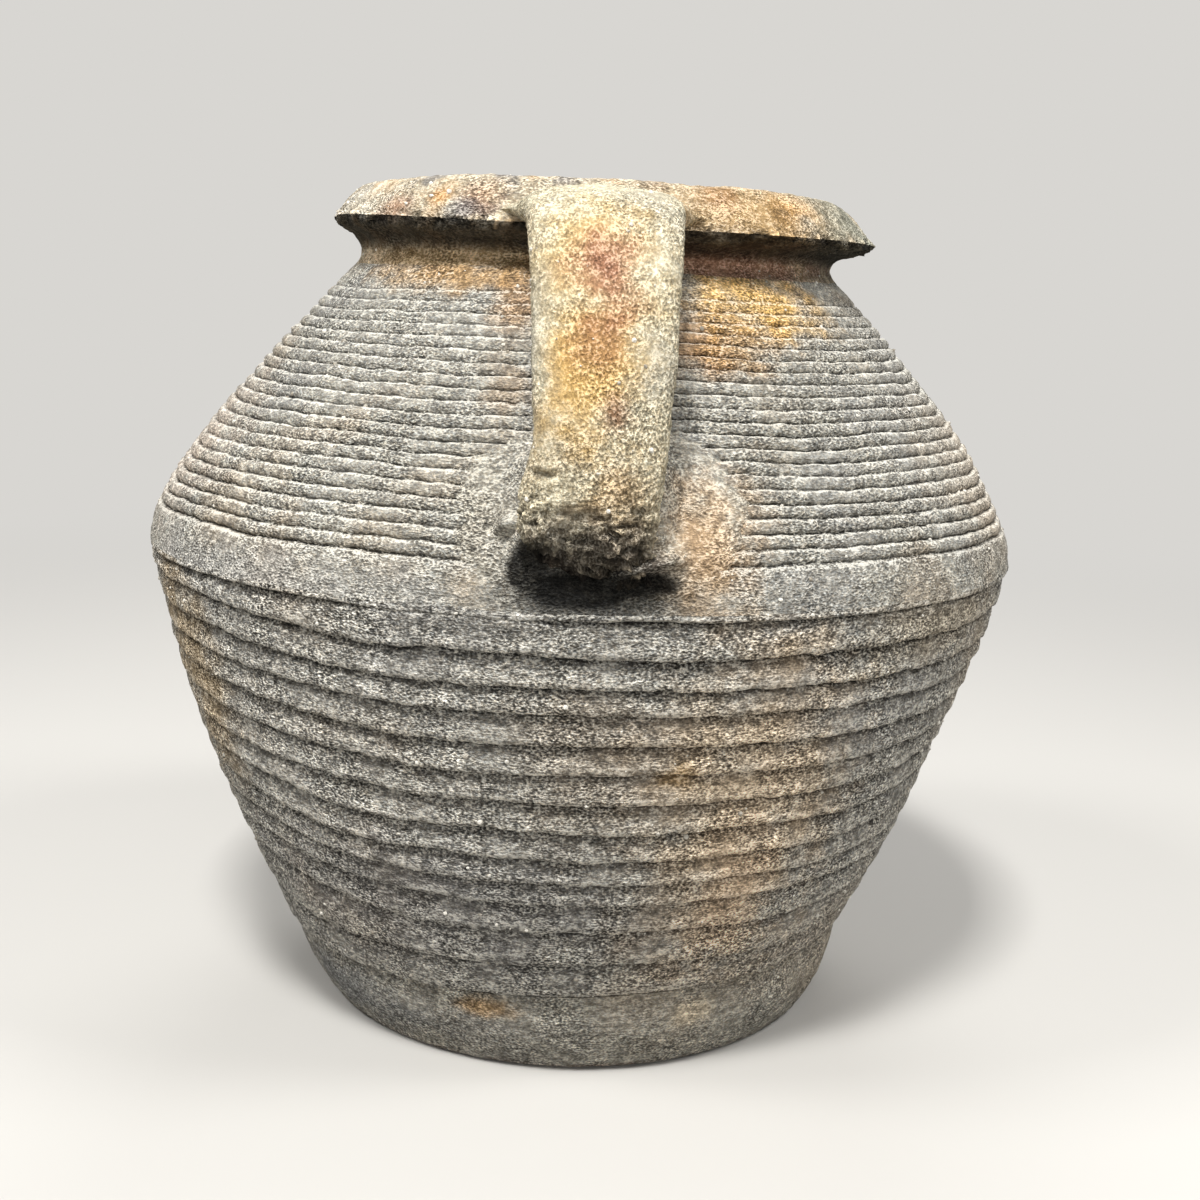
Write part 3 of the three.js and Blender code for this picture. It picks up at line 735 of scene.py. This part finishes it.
# How worn the rim is: a little all over its outside, and torn along its lip
RIM_TORN, LIP_TORN, LIP_TORN_REACH = 0.15, 0.9, 1.3
RIM_CLAY = "#b3a68f"

tip = np.array([RIM_TIP_R, RIM_TIP_Z])
corner = np.array([RIM_TIP_R - 5.6, RIM_TOP_Z - 0.8])
root, waist = np.array([NECK_R, NECK_Z]), [NECK_R + 0.9, NECK_Z + 5.4]
crown, throat_top = [RIM_TOP_R, RIM_TOP_Z], [MOUTH_R, RIM_TOP_Z - 5]
neck = bezier(root, root + [-2.6, 2.4], root + [-1.4, 4.2], waist)
under_lip = bezier(waist, tip - 2.4, tip - [0.9, 1.5])
bevel = bezier(tip - [0.9, 1.5], tip - [0.1, 0.8], tip)
face = bezier(tip, (tip + corner) / 2 + [0.5, 0.6], corner + [0.6, -0.7])
brow = bezier(corner + [0.6, -0.7], corner, corner + [-1.0, 0.25])
top_face = bezier(corner + [-1.0, 0.25], crown)
mouth = bezier(crown, [MOUTH_R + 0.4, RIM_TOP_Z], [MOUTH_R, RIM_TOP_Z - 2.5], throat_top)
throat = bezier(throat_top, [MOUTH_R, NECK_Z])
rim_curve = joined(neck, under_lip, bevel, face, brow, top_face, mouth)
lip_run = joined(neck, under_lip, bevel)[1][-1]
under_runs = steps(0, lip_run - LIP_EDGE, RIM_ROW)
rim_out = section_rows(rim_curve, np.concatenate([under_runs, steps(lip_run, rim_curve[1][-1], RIM_ROW)]))
rim_out[0, OUT_R:TURN] = shoulder_out[-1, OUT_R:TURN]
lip_torn = RIM_TORN + LIP_TORN * hump(rim_out[:, HEIGHT], RIM_TIP_Z - 0.4, LIP_TORN_REACH)
rim_out[:, TORN] = ramp(rim_out[:, RADIUS], NECK_R, 2) * lip_torn
# Painted shade under the lip, on its underside and on the top of the neck that it shelters
under_rows = len(under_runs)
rim_out[:under_rows, PAINTED_SHADE] = ramp(rim_out[:under_rows, HEIGHT], NECK_Z + 2.6, 2)
rim_in = section_rows(throat, steps(0, throat[1][-1], COARSE_ROW)[1:], rough=0.6)
rim_rows = np.concatenate([rim_out, rim_in])
overhang = RIM_SIDE_SHIFT * ramp(rim_rows[:, RADIUS], RIM_TOP_R + 1, RIM_TIP_R - RIM_TOP_R - 1)
overhang *= ramp(rim_rows[:, HEIGHT], NECK_Z + 4, 3)
rim = turned("rim", rim_rows, corners=(0, under_rows, -1), side_shift=overhang)
RIM_STAINS = [
    ("#ad8b59", spot(34, 164, 54), 26.0, 8.0, 0.8),
    ("#9c7046", spot(24, 166, 52), 5.0, 4.0, 0.6),
    ("#c08f4e", spot(43, 165, 53), 6.0, 4.0, 0.7),
    ("#8f9187", spot(45, 163, 54), 4.0, 3.0, 0.6),
    ("#8a8a7a", spot(68, 163, 54), 20.0, 8.0, 0.85),
    ("#c58f4e", spot(-33, 165, 53), 3.0, 2.4, 0.9),
    ("#96694f", spot(-45, 162.5, 55), 6.0, 3.0, 0.7),
    ("#a37a5c", spot(-24, 165, 53), 5.0, 4.0, 0.6),
    ("#7f8082", spot(-28, 162.5, 54), 4.0, 2.6, 0.6),
    ("#d8d0be", spot(-60, 164, 54), 12.0, 5.0, 0.6),
    ("#b0846a", spot(30, 154.6, 50), 30.0, 3.2, 0.9),
    ("#b0905f", spot(-34, 153.6, 50), 30.0, 3.0, 0.8),
]
rim_clay = clay(
    "worn_stained_earthenware", RIM_CLAY, RIM_STAINS,
    contrast=2.2, scurf=0.3, streak=0.2, veil=0.6, veil_size=8.0, mottle=0.9, relief=0.3,
)
worked(rim, hand_marks, POT_MARKS, rim_clay)
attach(rim, "root")
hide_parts("neck_rim")


# Strap handle: a flat strap pulled from a lump of clay with a wet hand. It is set on level at the rim, bends
# down, and is pressed on to the shoulder at a rough elbow. It is stained ochre and rust, and pale at its edges.
STRAP_T = 8.5
STRAP_CROWN_Z = NECK_Z + 10.1
STRAP_BEND = 26.0
STRAP_OUT = BELLY_R - 2.4
ELBOW_OUT, ELBOW_Z = BELLY_R + 0.9, BELLY_Z + 20
ROOT_Z = BELLY_Z + 8.7
ROOT_IN = 15.0
STRAP_SQUARE = 0.6
STRAP_RINGS = 260
STRAP_SIDES = 132
STRAP_BURIED = 2.8
STRAP_MARKS = {"Lump height": 0.35 * MM, "Lump size": 6 * MM, "Grit height": 0.16 * MM, "Grit size": 1.2 * MM,
               "Torn height": 1.5 * MM, "Torn size": 1.9 * MM, "Seed": 14.0}
# Up the strap: its width, and how far the hand let it sway to the right
STRAP_WIDTHS = ((101, 20), (107, 21), (112, 21.5), (118, 22.4), (124, 21.2), (132, 22), (140, 22.9), (150, 24),
                (160, 26), (164, 27))
STRAP_SWAY = ((101, 0.2), (111, 0.3), (117, 0.4), (124, 1.2), (140, 1.3), (155, 1.2), (164, 0.9))
# Below the elbow the strap narrows and its end is dragged to the right, where it was pinched off
END_RUN, END_NARROW, END_SWAY, END_TILT = 11.0, 0.2, 2.6, 0.45
# A chip and a pit in the left edge: middle, half sizes, depth
STRAP_DENTS = (((-0.0058, -0.0945, 0.1203), (2.6, 4.0, 0.8), 0.9),
               ((-0.0105, -0.0905, 0.1425), (1.2, 3.0, 0.9), 0.9))
# A hand-pulled strap is a little torn all over, and a lute a little more towards its edge
TORN_ALL, LUTE_TORN = 0.05, 0.15
# Painted shade in the chip and on the elbow's underside
STRAP_PAINTED_SHADE = [(STRAP_DENTS[0][0], (1.7, 4.0, 0.6), 0.35), (spot(0.5, 102.4, 95), (13.5, 9.0, 3.6), 0.8),
              (spot(0.5, 104.5, 96), (15.0, 9.0, 5.6), 0.35)]
STRAP_CLAY = "#beb49a"


def smooth_line(points, count, cut):
    """A centripetal Catmull-Rom curve through the points, less a cut at its end: even points and their run."""
    points = np.array(points, float)
    points = np.concatenate([[2 * points[0] - points[1]], points, [2 * points[-1] - points[-2]]])
    knots = np.concatenate([[0], np.cumsum(np.linalg.norm(np.diff(points, axis=0), axis=1) ** 0.5)])
    pieces = []
    for k in range(1, len(points) - 2):
        t = np.linspace(knots[k], knots[k + 1], 60, endpoint=k == len(points) - 3)[:, None]
        level = [points[k - 1 + m] + 0 * t for m in range(4)]
        for reach in (1, 2, 3):
            for m in range(4 - reach):
                low, high = (k - 1 + m, k - 1 + m + reach) if reach < 3 else (k, k + 1)
                share = (t - knots[low]) / (knots[high] - knots[low])
                level[m] = level[m] * (1 - share) + level[m + 1] * share
            level = level[: 4 - reach]
        pieces.append(level[0])
    curve = with_run(np.concatenate(pieces))
    even = np.linspace(0, curve[1][-1] - cut, count)
    return np.stack(curve_at(curve, even)[:2], -1), even


def loft(name, line, half_width, half_thickness, sway, square, torn, tilt=0.0):
    """A closed band of clay along a line of [out, height] points: flat oval sections, square to the line."""
    count = len(line)
    slope = np.gradient(line, axis=0)
    slope /= np.linalg.norm(slope, axis=1)[:, None]
    angle = np.linspace(0, 2 * np.pi, STRAP_SIDES, endpoint=False)
    power = np.broadcast_to(square, count)[:, None]

    def squared(power):
        return (np.sign(wave) * np.abs(wave) ** power for wave in (np.cos(angle), np.sin(angle)))

    across, through = squared(power)
    lean_out, lift_out = squared(np.maximum(2 - power, 0.3))
    x = half_width[:, None] * across + sway[:, None]
    # The line runs out along -Y, and up from the strap is a quarter turn from it
    up_y, up_z = slope[:, 1:2], slope[:, 0:1]
    y = -line[:, 0:1] + half_thickness[:, None] * through * up_y
    z = line[:, 1:2] + half_thickness[:, None] * through * up_z
    z = z - np.broadcast_to(tilt, count)[:, None] * half_width[:, None] * across
    nx, nt = lean_out / half_width[:, None], lift_out / half_thickness[:, None]
    outward = np.stack([nx, nt * up_y, nt * up_z], -1)
    outward /= np.linalg.norm(outward, axis=2)[:, :, None]
    faces = net(count, STRAP_SIDES, count - 1, STRAP_SIDES)[:, [0, 3, 2, 1]].tolist()
    first, last, tail = count * STRAP_SIDES, count * STRAP_SIDES + 1, (count - 1) * STRAP_SIDES
    for k in range(STRAP_SIDES):
        beside = (k + 1) % STRAP_SIDES
        faces += [(first, beside, k), (last, tail + k, tail + beside)]
    ends = [[sway[i], -line[i, 0], line[i, 1]] for i in (0, -1)]
    points = np.concatenate([np.stack([x, y, z], -1).reshape(-1, 3), ends])
    outward = np.concatenate([outward.reshape(-1, 3), np.zeros((2, 3))])
    torn = np.append(np.repeat(torn, STRAP_SIDES), [0, 0])
    return clay_mesh(name, points, faces, {"outward": outward, "rough": np.ones(len(torn)), "torn": torn})


strap_line, strap_runs = smooth_line(
    [
        (RIM_TOP_R + 1.5, STRAP_CROWN_Z),
        (RIM_TIP_R + STRAP_T / 2, STRAP_CROWN_Z),
        ((RIM_TIP_R + STRAP_OUT) / 2 + STRAP_T / 4, STRAP_CROWN_Z - STRAP_BEND / 8),
        (STRAP_OUT - STRAP_BEND / 4, STRAP_CROWN_Z - STRAP_BEND / 2.3),
        (STRAP_OUT, STRAP_CROWN_Z - STRAP_BEND),
        (ELBOW_OUT, ELBOW_Z),
        (ELBOW_OUT - STRAP_T / 4, ROOT_Z + STRAP_T / 2),
        (ELBOW_OUT - ROOT_IN / 2, ROOT_Z),
    ],
    STRAP_RINGS, STRAP_BURIED,
)
turned_in = ramp(strap_runs, strap_runs[strap_line[:, 1] > ELBOW_Z - 5][-1], END_RUN)
strap_width = np.interp(strap_line[:, 1], *np.transpose(STRAP_WIDTHS)) * (1 - END_NARROW * turned_in)
strap_sway = np.interp(strap_line[:, 1], *np.transpose(STRAP_SWAY)) + END_SWAY * turned_in
elbow_torn = ramp(strap_line[:, 1], ELBOW_Z + 3, -8) + TORN_ALL
strap = loft("strap", strap_line, strap_width / 2, np.full(STRAP_RINGS, STRAP_T / 2), strap_sway, STRAP_SQUARE,
             elbow_torn, END_TILT * turned_in)
dented(strap, STRAP_DENTS)
# Painted shadow and shade on the elbow and in the chip
paint_shade(strap, ELBOW_PAINTED_SHADOW + STRAP_PAINTED_SHADE)
STRAP_STAINS_AND_SHADE = (
    ("#cdb07a", (2, -84, 140), 10.5, 36.0, 0.9),
    ("#d6aa60", (0.5, -91, 134), 7.0, 15.0, 0.7),
    ("#cba768", (0, -78, 158), 7.5, 9.0, 0.5),
    ("#a7765c", (3.5, -84, 149), 6.5, 13.0, 0.92),
    ("#ad7f58", (2, -91, 141), 4.5, 5.0, 0.6),
    ("#8e6950", (5, -94, 130), 3.0, 3.6, 0.85),
    ("#b98f58", (6, -95, 118), 4.0, 6.0, 0.5),
    ("#d9cfb2", (-2, -62, 167), 14.0, 6.0, 0.5),
    # The next two are painted shade, darkening the elbow towards its underside; the first also gives it its
    # grey-brown tone
    ("#6b6258", (1, -90, 107), 13.0, 8.5, 0.9),
    ("#463b33", (1, -87, 102.5), 14.0, 5.0, 0.95),
    ("#a2a399", (-10.5, -88, 138), 4.5, 26.0, 0.7),
)
strap_clay = clay(
    "pulled_stained_earthenware", STRAP_CLAY,
    [(colour, np.multiply(place, MM), *sizes) for colour, place, *sizes in STRAP_STAINS_AND_SHADE],
    contrast=1.9, scurf=0.25, drag=(1.3, 1.0, 1.0), streak=0.1, veil=0.25, veil_size=18.0, relief=0.3,
)
worked(strap, hand_marks, STRAP_MARKS, strap_clay)
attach(strap, "root")
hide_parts("strap_handle")


# Rim lute: soft clay worked in round the strap where it leaves the rim. It spreads over the rim's face on
# both sides in hollow fillets, and thins away along the strap.
RIM_LUTE_RUN = 17.0
RIM_LUTE_SPREAD = 8.0
RIM_LUTE_RISE = 2.0
LUTE_EDGE = 0.12
LUTE_RINGS = 90

lute_share = np.linspace(0, 1, LUTE_RINGS)
lute_line = np.stack(curve_at((strap_line, strap_runs), lute_share * RIM_LUTE_RUN)[:2], -1)
flare = (1 - lute_share) ** 2.2
lute_skin = LUTE_EDGE * (1 - 3 * lute_share)
lute_width = STRAP_WIDTHS[-1][1] / 2 + lute_skin + RIM_LUTE_SPREAD * flare
lute_thickness = STRAP_T / 2 + lute_skin + RIM_LUTE_RISE * flare
lute_sway = np.full(LUTE_RINGS, STRAP_SWAY[-1][1])
lute_square = STRAP_SQUARE + 1.9 * flare
rim_lute = loft("rim_lute", lute_line, lute_width, lute_thickness, lute_sway, lute_square,
                TORN_ALL + LUTE_TORN * flare)
collar_clay = clay(
    "scratched_stained_earthenware", STRAP_CLAY, RIM_STAINS,
    contrast=2.0, scurf=0.25, drag=(1.6, 1.0, 1.6), streak=0.9, veil=0.4, veil_size=12.0, mottle=0.5,
    relief=0.3, slant=50.0,
)
worked(rim_lute, hand_marks, STRAP_MARKS, collar_clay)
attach(rim_lute, "root")
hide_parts("handle_rim_lute")


# Root lute: clay smeared over the combing round the strap's lower end, feathered out by thumb. It is thick
# against the strap, runs to a tip at the lower left, and ends in a sharp step on the right.
ROOT_MIDDLE = 18.5
ROOT_THICKNESS = 1.2
ROOT_FILLET = 3.4
ROOT_FILLET_REACH = 2.6
ROOT_BURIED = 1.2
ROOT_RINGS = 66
ROOT_SPOKES = 280
# How far the smear's edge is sunk, and how torn it is all over and where it is pressed
EDGE_SUNK, ROOT_TORN, PRESSED_TORN = 0.35, 0.06, 0.3
# How far the smear reaches, in each direction from its middle: degrees from the right, and millimetres
ROOT_REACH = ((0, 27), (25, 25), (50, 20.5), (75, 16.5), (105, 16), (130, 18.5), (155, 21.5), (180, 21.5),
              (205, 21), (225, 20.5), (250, 16), (270, 15), (300, 17.5), (320, 22), (338, 26), (350, 27.5),
              (360, 27))
# How steeply the smear ends, all round and at its sharp step, and where that is, in degrees to both sides
ROOT_END, ROOT_STEP = 6.0, 30.0
STEP_MIDDLE, STEP_REACH = 345.0, 16.0
# The strap's end on the wall, across and up: middle and half size. Below it the clay is pressed thin
STRAP_END = ((1.2, 10.2), (17.0, 7.5))
PRESSED_MIDDLE, PRESSED_HALF, PRESSED_TOP, PRESSED_FADE, PRESSED_THIN = 1.5, 13.5, 13.0, 3.0, 0.6
# Thin wings of clay squeezed out beside the strap's end: across, up the wall, slope, half length, height
ROOT_WINGS = ((10.0, 8.6, 0.25, 6.0, 4.2), (-11.2, 14.6, 0.1, 2.8, 3.8))
# How far a wing slopes away above its crest, and how sharply it ends below it
WING_ABOVE, WING_BELOW = 3.4, 0.7


def wall_place(run, across, lift):
    """A place over the shoulder: run up the wall, across to the right of the handle, and lift off the wall."""
    radius, height, along_r, along_z = curve_at(shoulder_curve, run)
    turn = across / radius
    out = radius + lift * along_z
    point = np.stack([out * np.sin(turn), -out * np.cos(turn), height - lift * along_r], -1)
    outward = np.stack([along_z * np.sin(turn), -along_z * np.cos(turn), -along_r], -1)
    return point.reshape(-1, 3), outward.reshape(-1, 3)


spoke = np.linspace(0, 2 * np.pi, ROOT_SPOKES, endpoint=False)
reach = np.interp(np.degrees(spoke), *np.transpose(ROOT_REACH))
reach *= 1 + 0.03 * np.sin(9 * spoke + 1) + 0.02 * np.sin(17 * spoke) + 0.012 * np.sin(37 * spoke + 2)
ring = (np.linspace(0, 1, ROOT_RINGS + 1)[1:] ** 0.8)[:, None]
across = ring * reach * np.cos(spoke)
run = ROOT_MIDDLE + ring * reach * np.sin(spoke)
step = ROOT_END + ROOT_STEP * hump((np.degrees(spoke) - STEP_MIDDLE + 180) % 360 - 180, 0, STEP_REACH)
under_strap = ramp(run, PRESSED_TOP, -PRESSED_FADE)
under_strap *= ramp(np.abs(across - PRESSED_MIDDLE), PRESSED_HALF, -PRESSED_FADE)
thumbed = 0.75 + 0.25 * np.sin(across / 5 + run / 7)
lens = ROOT_THICKNESS * (1 - ring**step) * thumbed * (1 - PRESSED_THIN * under_strap)
to_strap = np.hypot(*(np.clip(np.abs(place - middle) - half, 0, None)
                      for place, (middle, half) in zip((across, run), STRAP_END)))
lift = lens + ROOT_FILLET * hump(to_strap, 0, ROOT_FILLET_REACH) * (1 - under_strap)
for wing_across, wing_run, wing_slope, wing_half, wing_height in ROOT_WINGS:
    above = run - wing_run - wing_slope * (across - wing_across)
    fall = np.where(above > 0, hump(np.maximum(above, 0), 0, WING_ABOVE, 1.5), hump(above, 0, WING_BELOW))
    lift = np.maximum(lift, lens + wing_height * fall * hump(across, wing_across, wing_half, 4))
lift -= EDGE_SUNK * ring**8
middle = np.array([ROOT_MIDDLE])
top_points, top_out = wall_place(run, across, lift)
low_points, low_out = wall_place(run, across, -ROOT_BURIED)
crown, crown_out = wall_place(middle, 0.0, ROOT_THICKNESS + ROOT_FILLET)
keel, keel_out = wall_place(middle, 0.0, -ROOT_BURIED)
points = np.concatenate([top_points, low_points, crown, keel])
outward = np.concatenate([top_out, -low_out, crown_out, -keel_out])
edge_calm = np.broadcast_to(1 - ring**10, across.shape).ravel()
rough = np.concatenate([edge_calm, 0 * edge_calm, [1, 0]])
torn = rough * np.append(np.tile((ROOT_TORN + PRESSED_TORN * under_strap).ravel(), 2), [0, 0])
under_side = ROOT_RINGS * ROOT_SPOKES
faces = []
for k in range(ROOT_SPOKES):
    beside = (k + 1) % ROOT_SPOKES
    faces += [(2 * under_side, k, beside), (2 * under_side + 1, under_side + beside, under_side + k)]
    for m in range(ROOT_RINGS - 1):
        a, b = m * ROOT_SPOKES + k, m * ROOT_SPOKES + beside
        c, d = b + ROOT_SPOKES, a + ROOT_SPOKES
        faces += [(a, d, c, b), (under_side + a, under_side + b, under_side + c, under_side + d)]
    a, b = (ROOT_RINGS - 1) * ROOT_SPOKES + k, (ROOT_RINGS - 1) * ROOT_SPOKES + beside
    faces.append((a, under_side + a, under_side + b, b))
root_lute = clay_mesh("root_lute", points, faces, {"outward": outward, "rough": rough, "torn": torn})
root_clay = clay(
    "smeared_weathered_earthenware", "#aaa598",
    [
        ("#c3a27c", spot(14, 112, 88), 9.0, 17.0, 0.85),
        ("#a29a8a", spot(-14, 112, 88), 9.0, 14.0, 0.5),
        # Painted shade on the top of the wing right of the strap's end, where the light from above falls on it
        ("#6b6157", spot(7, 105.4, 94), 7.0, 2.4, 0.9),
        ("#b88a5a", spot(-9, 98, 90), 3.0, 1.6, 0.7),
    ],
    contrast=2.6, scurf=0.4, streak=0.3, veil=0.2,
)
# Painted shadow of the handle's elbow on the smear
paint_shade(root_lute, ELBOW_PAINTED_SHADOW)
worked(root_lute, hand_marks, STRAP_MARKS, root_clay)
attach(root_lute, "root")
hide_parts("handle_root_lute")


# Grit: crushed stone and shell that the potter kneaded into the clay so that the pot would stand the fire.
# The larger grains show as pale specks wherever the surface has worn, each sunk half into the clay.
GRIT_SIZES = {"Spacing": 7.5 * MM, "Smallest": 0.16 * MM, "Largest": 0.5 * MM, "Seed": 4.0}
# How worn a surface has to be for its grit to show, and how much narrower or wider a grain may be one way
GRIT_WORN, GRAIN_NARROW, GRAIN_WIDE = 0.9, 0.7, 1.3
FULL_TURN = 6.28


def grit_tree(pieces):
    """Grains scattered over the worn outside of the pieces, most of them small, turned every way."""
    tree, given = new_tree("grit_grains", GRIT_SIZES)
    outside = tree.nodes.new("GeometryNodeJoinGeometry")
    for piece in pieces:
        surface = node(tree, "GeometryNodeObjectInfo", {"Object": piece}, out="Geometry")
        tree.links.new(surface, outside.inputs[0])
    rough, soot = attribute(tree, "rough"), attribute(tree, "soot")
    # No grit shows where shade is painted, so the painted shadows stay dark
    worn = node(tree, "ShaderNodeMath", [rough, soot], operation="SUBTRACT")
    worn = node(tree, "FunctionNodeCompare", {"A": worn, "B": GRIT_WORN}, operation="GREATER_THAN")
    density = node(tree, "ShaderNodeMath", [given["Spacing"], -2.0], operation="POWER")
    points = node(tree, "GeometryNodeDistributePointsOnFaces",
                  {"Mesh": outside.outputs[0], "Selection": worn, "Density": density, "Seed": given["Seed"]})
    chance = node(tree, "FunctionNodeRandomValue", {"Seed": given["Seed"]})
    chance = node(tree, "ShaderNodeMath", [chance, 3.0], operation="POWER")
    size = node(tree, "ShaderNodeMapRange",
                {"Value": chance, "To Min": given["Smallest"], "To Max": given["Largest"]})
    shape = node(tree, "FunctionNodeRandomValue", {"Min": [GRAIN_NARROW] * 3, "Max": [GRAIN_WIDE] * 3},
                 data_type="FLOAT_VECTOR")
    size = node(tree, "ShaderNodeVectorMath", [shape, size], operation="SCALE")
    turned_to = node(tree, "FunctionNodeRandomValue", {"Max": [FULL_TURN] * 3, "Seed": 7},
                     data_type="FLOAT_VECTOR")
    grain = node(tree, "GeometryNodeMeshIcoSphere", {"Radius": 1.0, "Subdivisions": 1})
    grains = node(tree, "GeometryNodeInstanceOnPoints",
                  {"Points": points, "Instance": grain, "Rotation": turned_to, "Scale": size})
    return close_tree(tree, grains, given["Clay"])


# Broken stone and shell: dull, mostly cream, some of it grey or brown
grit_stone, stone, stone_shader = new_material("crushed_stone_grit")
stone_place = node(stone, "ShaderNodeTexCoord", out="Object")
stone_kind = node(stone, "ShaderNodeTexNoise", {"Vector": stone_place, "Scale": 1 / (3 * MM), "Detail": 0.0})
stone_kind = node(stone, "ShaderNodeMapRange", {"Value": stone_kind, "From Min": 0.35, "From Max": 0.6})
stone_colour = node(stone, "ShaderNodeMix",
                    {"Factor": stone_kind, "A": linear("#a39a8b"), "B": linear("#f1ece0")}, data_type="RGBA")
stone.links.new(stone_colour, stone_shader.inputs["Base Color"])
stone_shader.inputs["Roughness"].default_value = 0.85
grit = placed("grit", bpy.data.meshes.new("grit"))
worked(grit, grit_tree([lower, shoulder, rim, strap, root_lute]), GRIT_SIZES, grit_stone)
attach(grit, "root")


# Floor and light: a plain pale floor under a large soft lamp above the handle's side, with a weak fill. The
# camera stands level with the pot's shoulder, a third of a metre off, and looks a little down on it.
FLOOR_COLOUR = "#d2cfc9"
FLOOR_BOUNCE = "#96938d"
BACKDROP_COLOUR = "#d8d6d2"
BACKDROP_NEAR, BACKDROP_FAR = 0.2, 0.75
SKY_COLOUR = "#f0f2f6"
SKY_STRENGTH = 0.18
LAMPS = (
    ("key", (-0.12, -0.54, 0.97), 0.16, 9.5),
    ("front", (0.1, -1.0, 0.35), 0.5, 1.7),
    ("left", (-0.65, -0.35, 0.95), 0.25, 4.2),
    ("right", (0.65, -0.32, 0.95), 0.25, 4.4),
    ("back", (0.1, 0.9, 0.9), 0.6, 5.0),
)
LAMPS_AIM = (0.0, 0.0, 0.08)
CAMERA_BACK = 0.33156
CAMERA_HEIGHT = 0.14659
CAMERA_PITCH = 10.875
CAMERA_YAW = 0.891
CAMERA_ROLL = 2.121
CAMERA_LENS = 46.23
SENSOR = 36.0

floor_mesh = bpy.data.meshes.new("floor")
floor_mesh.from_pydata([(-3, -3, 0), (3, -3, 0), (3, 3, 0), (-3, 3, 0)], [], [(0, 1, 2, 3)])
floor = placed("floor", floor_mesh)
floor_paint, painted, floor_shader = new_material("matt_pale_paint")
floor_shader.inputs["Roughness"].default_value = 0.9
# Away from the pot the floor is seen as the backdrop, and it throws less light up than its pale look would
off_pot = node(painted, "ShaderNodeTexCoord", out="Object")
off_pot = node(painted, "ShaderNodeVectorMath", [off_pot], out="Value", operation="LENGTH")
far_off = node(painted, "ShaderNodeMapRange",
               {"Value": off_pot, "From Min": BACKDROP_NEAR, "From Max": BACKDROP_FAR},
               interpolation_type="SMOOTHSTEP")
by_eye = node(painted, "ShaderNodeLightPath", out="Is Camera Ray")
paint = node(painted, "ShaderNodeMix", {"Factor": by_eye, "A": linear(FLOOR_BOUNCE), "B": linear(FLOOR_COLOUR)},
             data_type="RGBA")
painted.links.new(paint, floor_shader.inputs["Base Color"])
far_off = node(painted, "ShaderNodeMath", [far_off, by_eye], operation="MULTIPLY")
glow = node(painted, "ShaderNodeEmission", {"Color": linear(BACKDROP_COLOUR)})
seen_floor = node(painted, "ShaderNodeMixShader", [far_off, floor_shader.outputs["BSDF"], glow])
painted.links.new(seen_floor, painted.nodes["Material Output"].inputs["Surface"])
floor_mesh.materials.append(floor_paint)

world = bpy.data.worlds.new("studio")
world.use_nodes = True
studio = world.node_tree
sky = node(studio, "ShaderNodeBackground", {"Color": linear(SKY_COLOUR), "Strength": SKY_STRENGTH})
backdrop = node(studio, "ShaderNodeBackground", {"Color": linear(BACKDROP_COLOUR)})
by_eye = node(studio, "ShaderNodeLightPath", out="Is Camera Ray")
seen_sky = node(studio, "ShaderNodeMixShader", [by_eye, sky, backdrop])
studio.links.new(seen_sky, studio.nodes["World Output"].inputs["Surface"])
bpy.context.scene.world = world
for name, place, size, power in LAMPS:
    lamp_data = bpy.data.lights.new(name, "AREA")
    lamp_data.size = size
    lamp_data.energy = power
    lamp = placed(name, lamp_data)
    lamp.location = place
    lamp.rotation_mode = "QUATERNION"
    lamp.rotation_quaternion = (Vector(LAMPS_AIM) - lamp.location).to_track_quat("-Z", "Y")

pitch, yaw, roll = np.radians([CAMERA_PITCH, CAMERA_YAW, CAMERA_ROLL])
ahead = Vector((np.sin(yaw) * np.cos(pitch), np.cos(yaw) * np.cos(pitch), -np.sin(pitch)))
level = Vector((np.cos(yaw), -np.sin(yaw), 0.0))
upright = level.cross(ahead)
right = level * np.cos(roll) + upright * np.sin(roll)
up = upright * np.cos(roll) - level * np.sin(roll)
camera_data = bpy.data.cameras.new("camera")
camera_data.lens = CAMERA_LENS
camera_data.sensor_width = SENSOR
camera_data.clip_start = 0.01
camera = placed("camera", camera_data)
facing = Matrix((right, up, -ahead)).transposed().to_4x4()
camera.matrix_world = Matrix.Translation((0.0, -CAMERA_BACK, CAMERA_HEIGHT)) @ facing
bpy.context.scene.camera = camera
bpy.context.scene.view_settings.view_transform = "Standard"
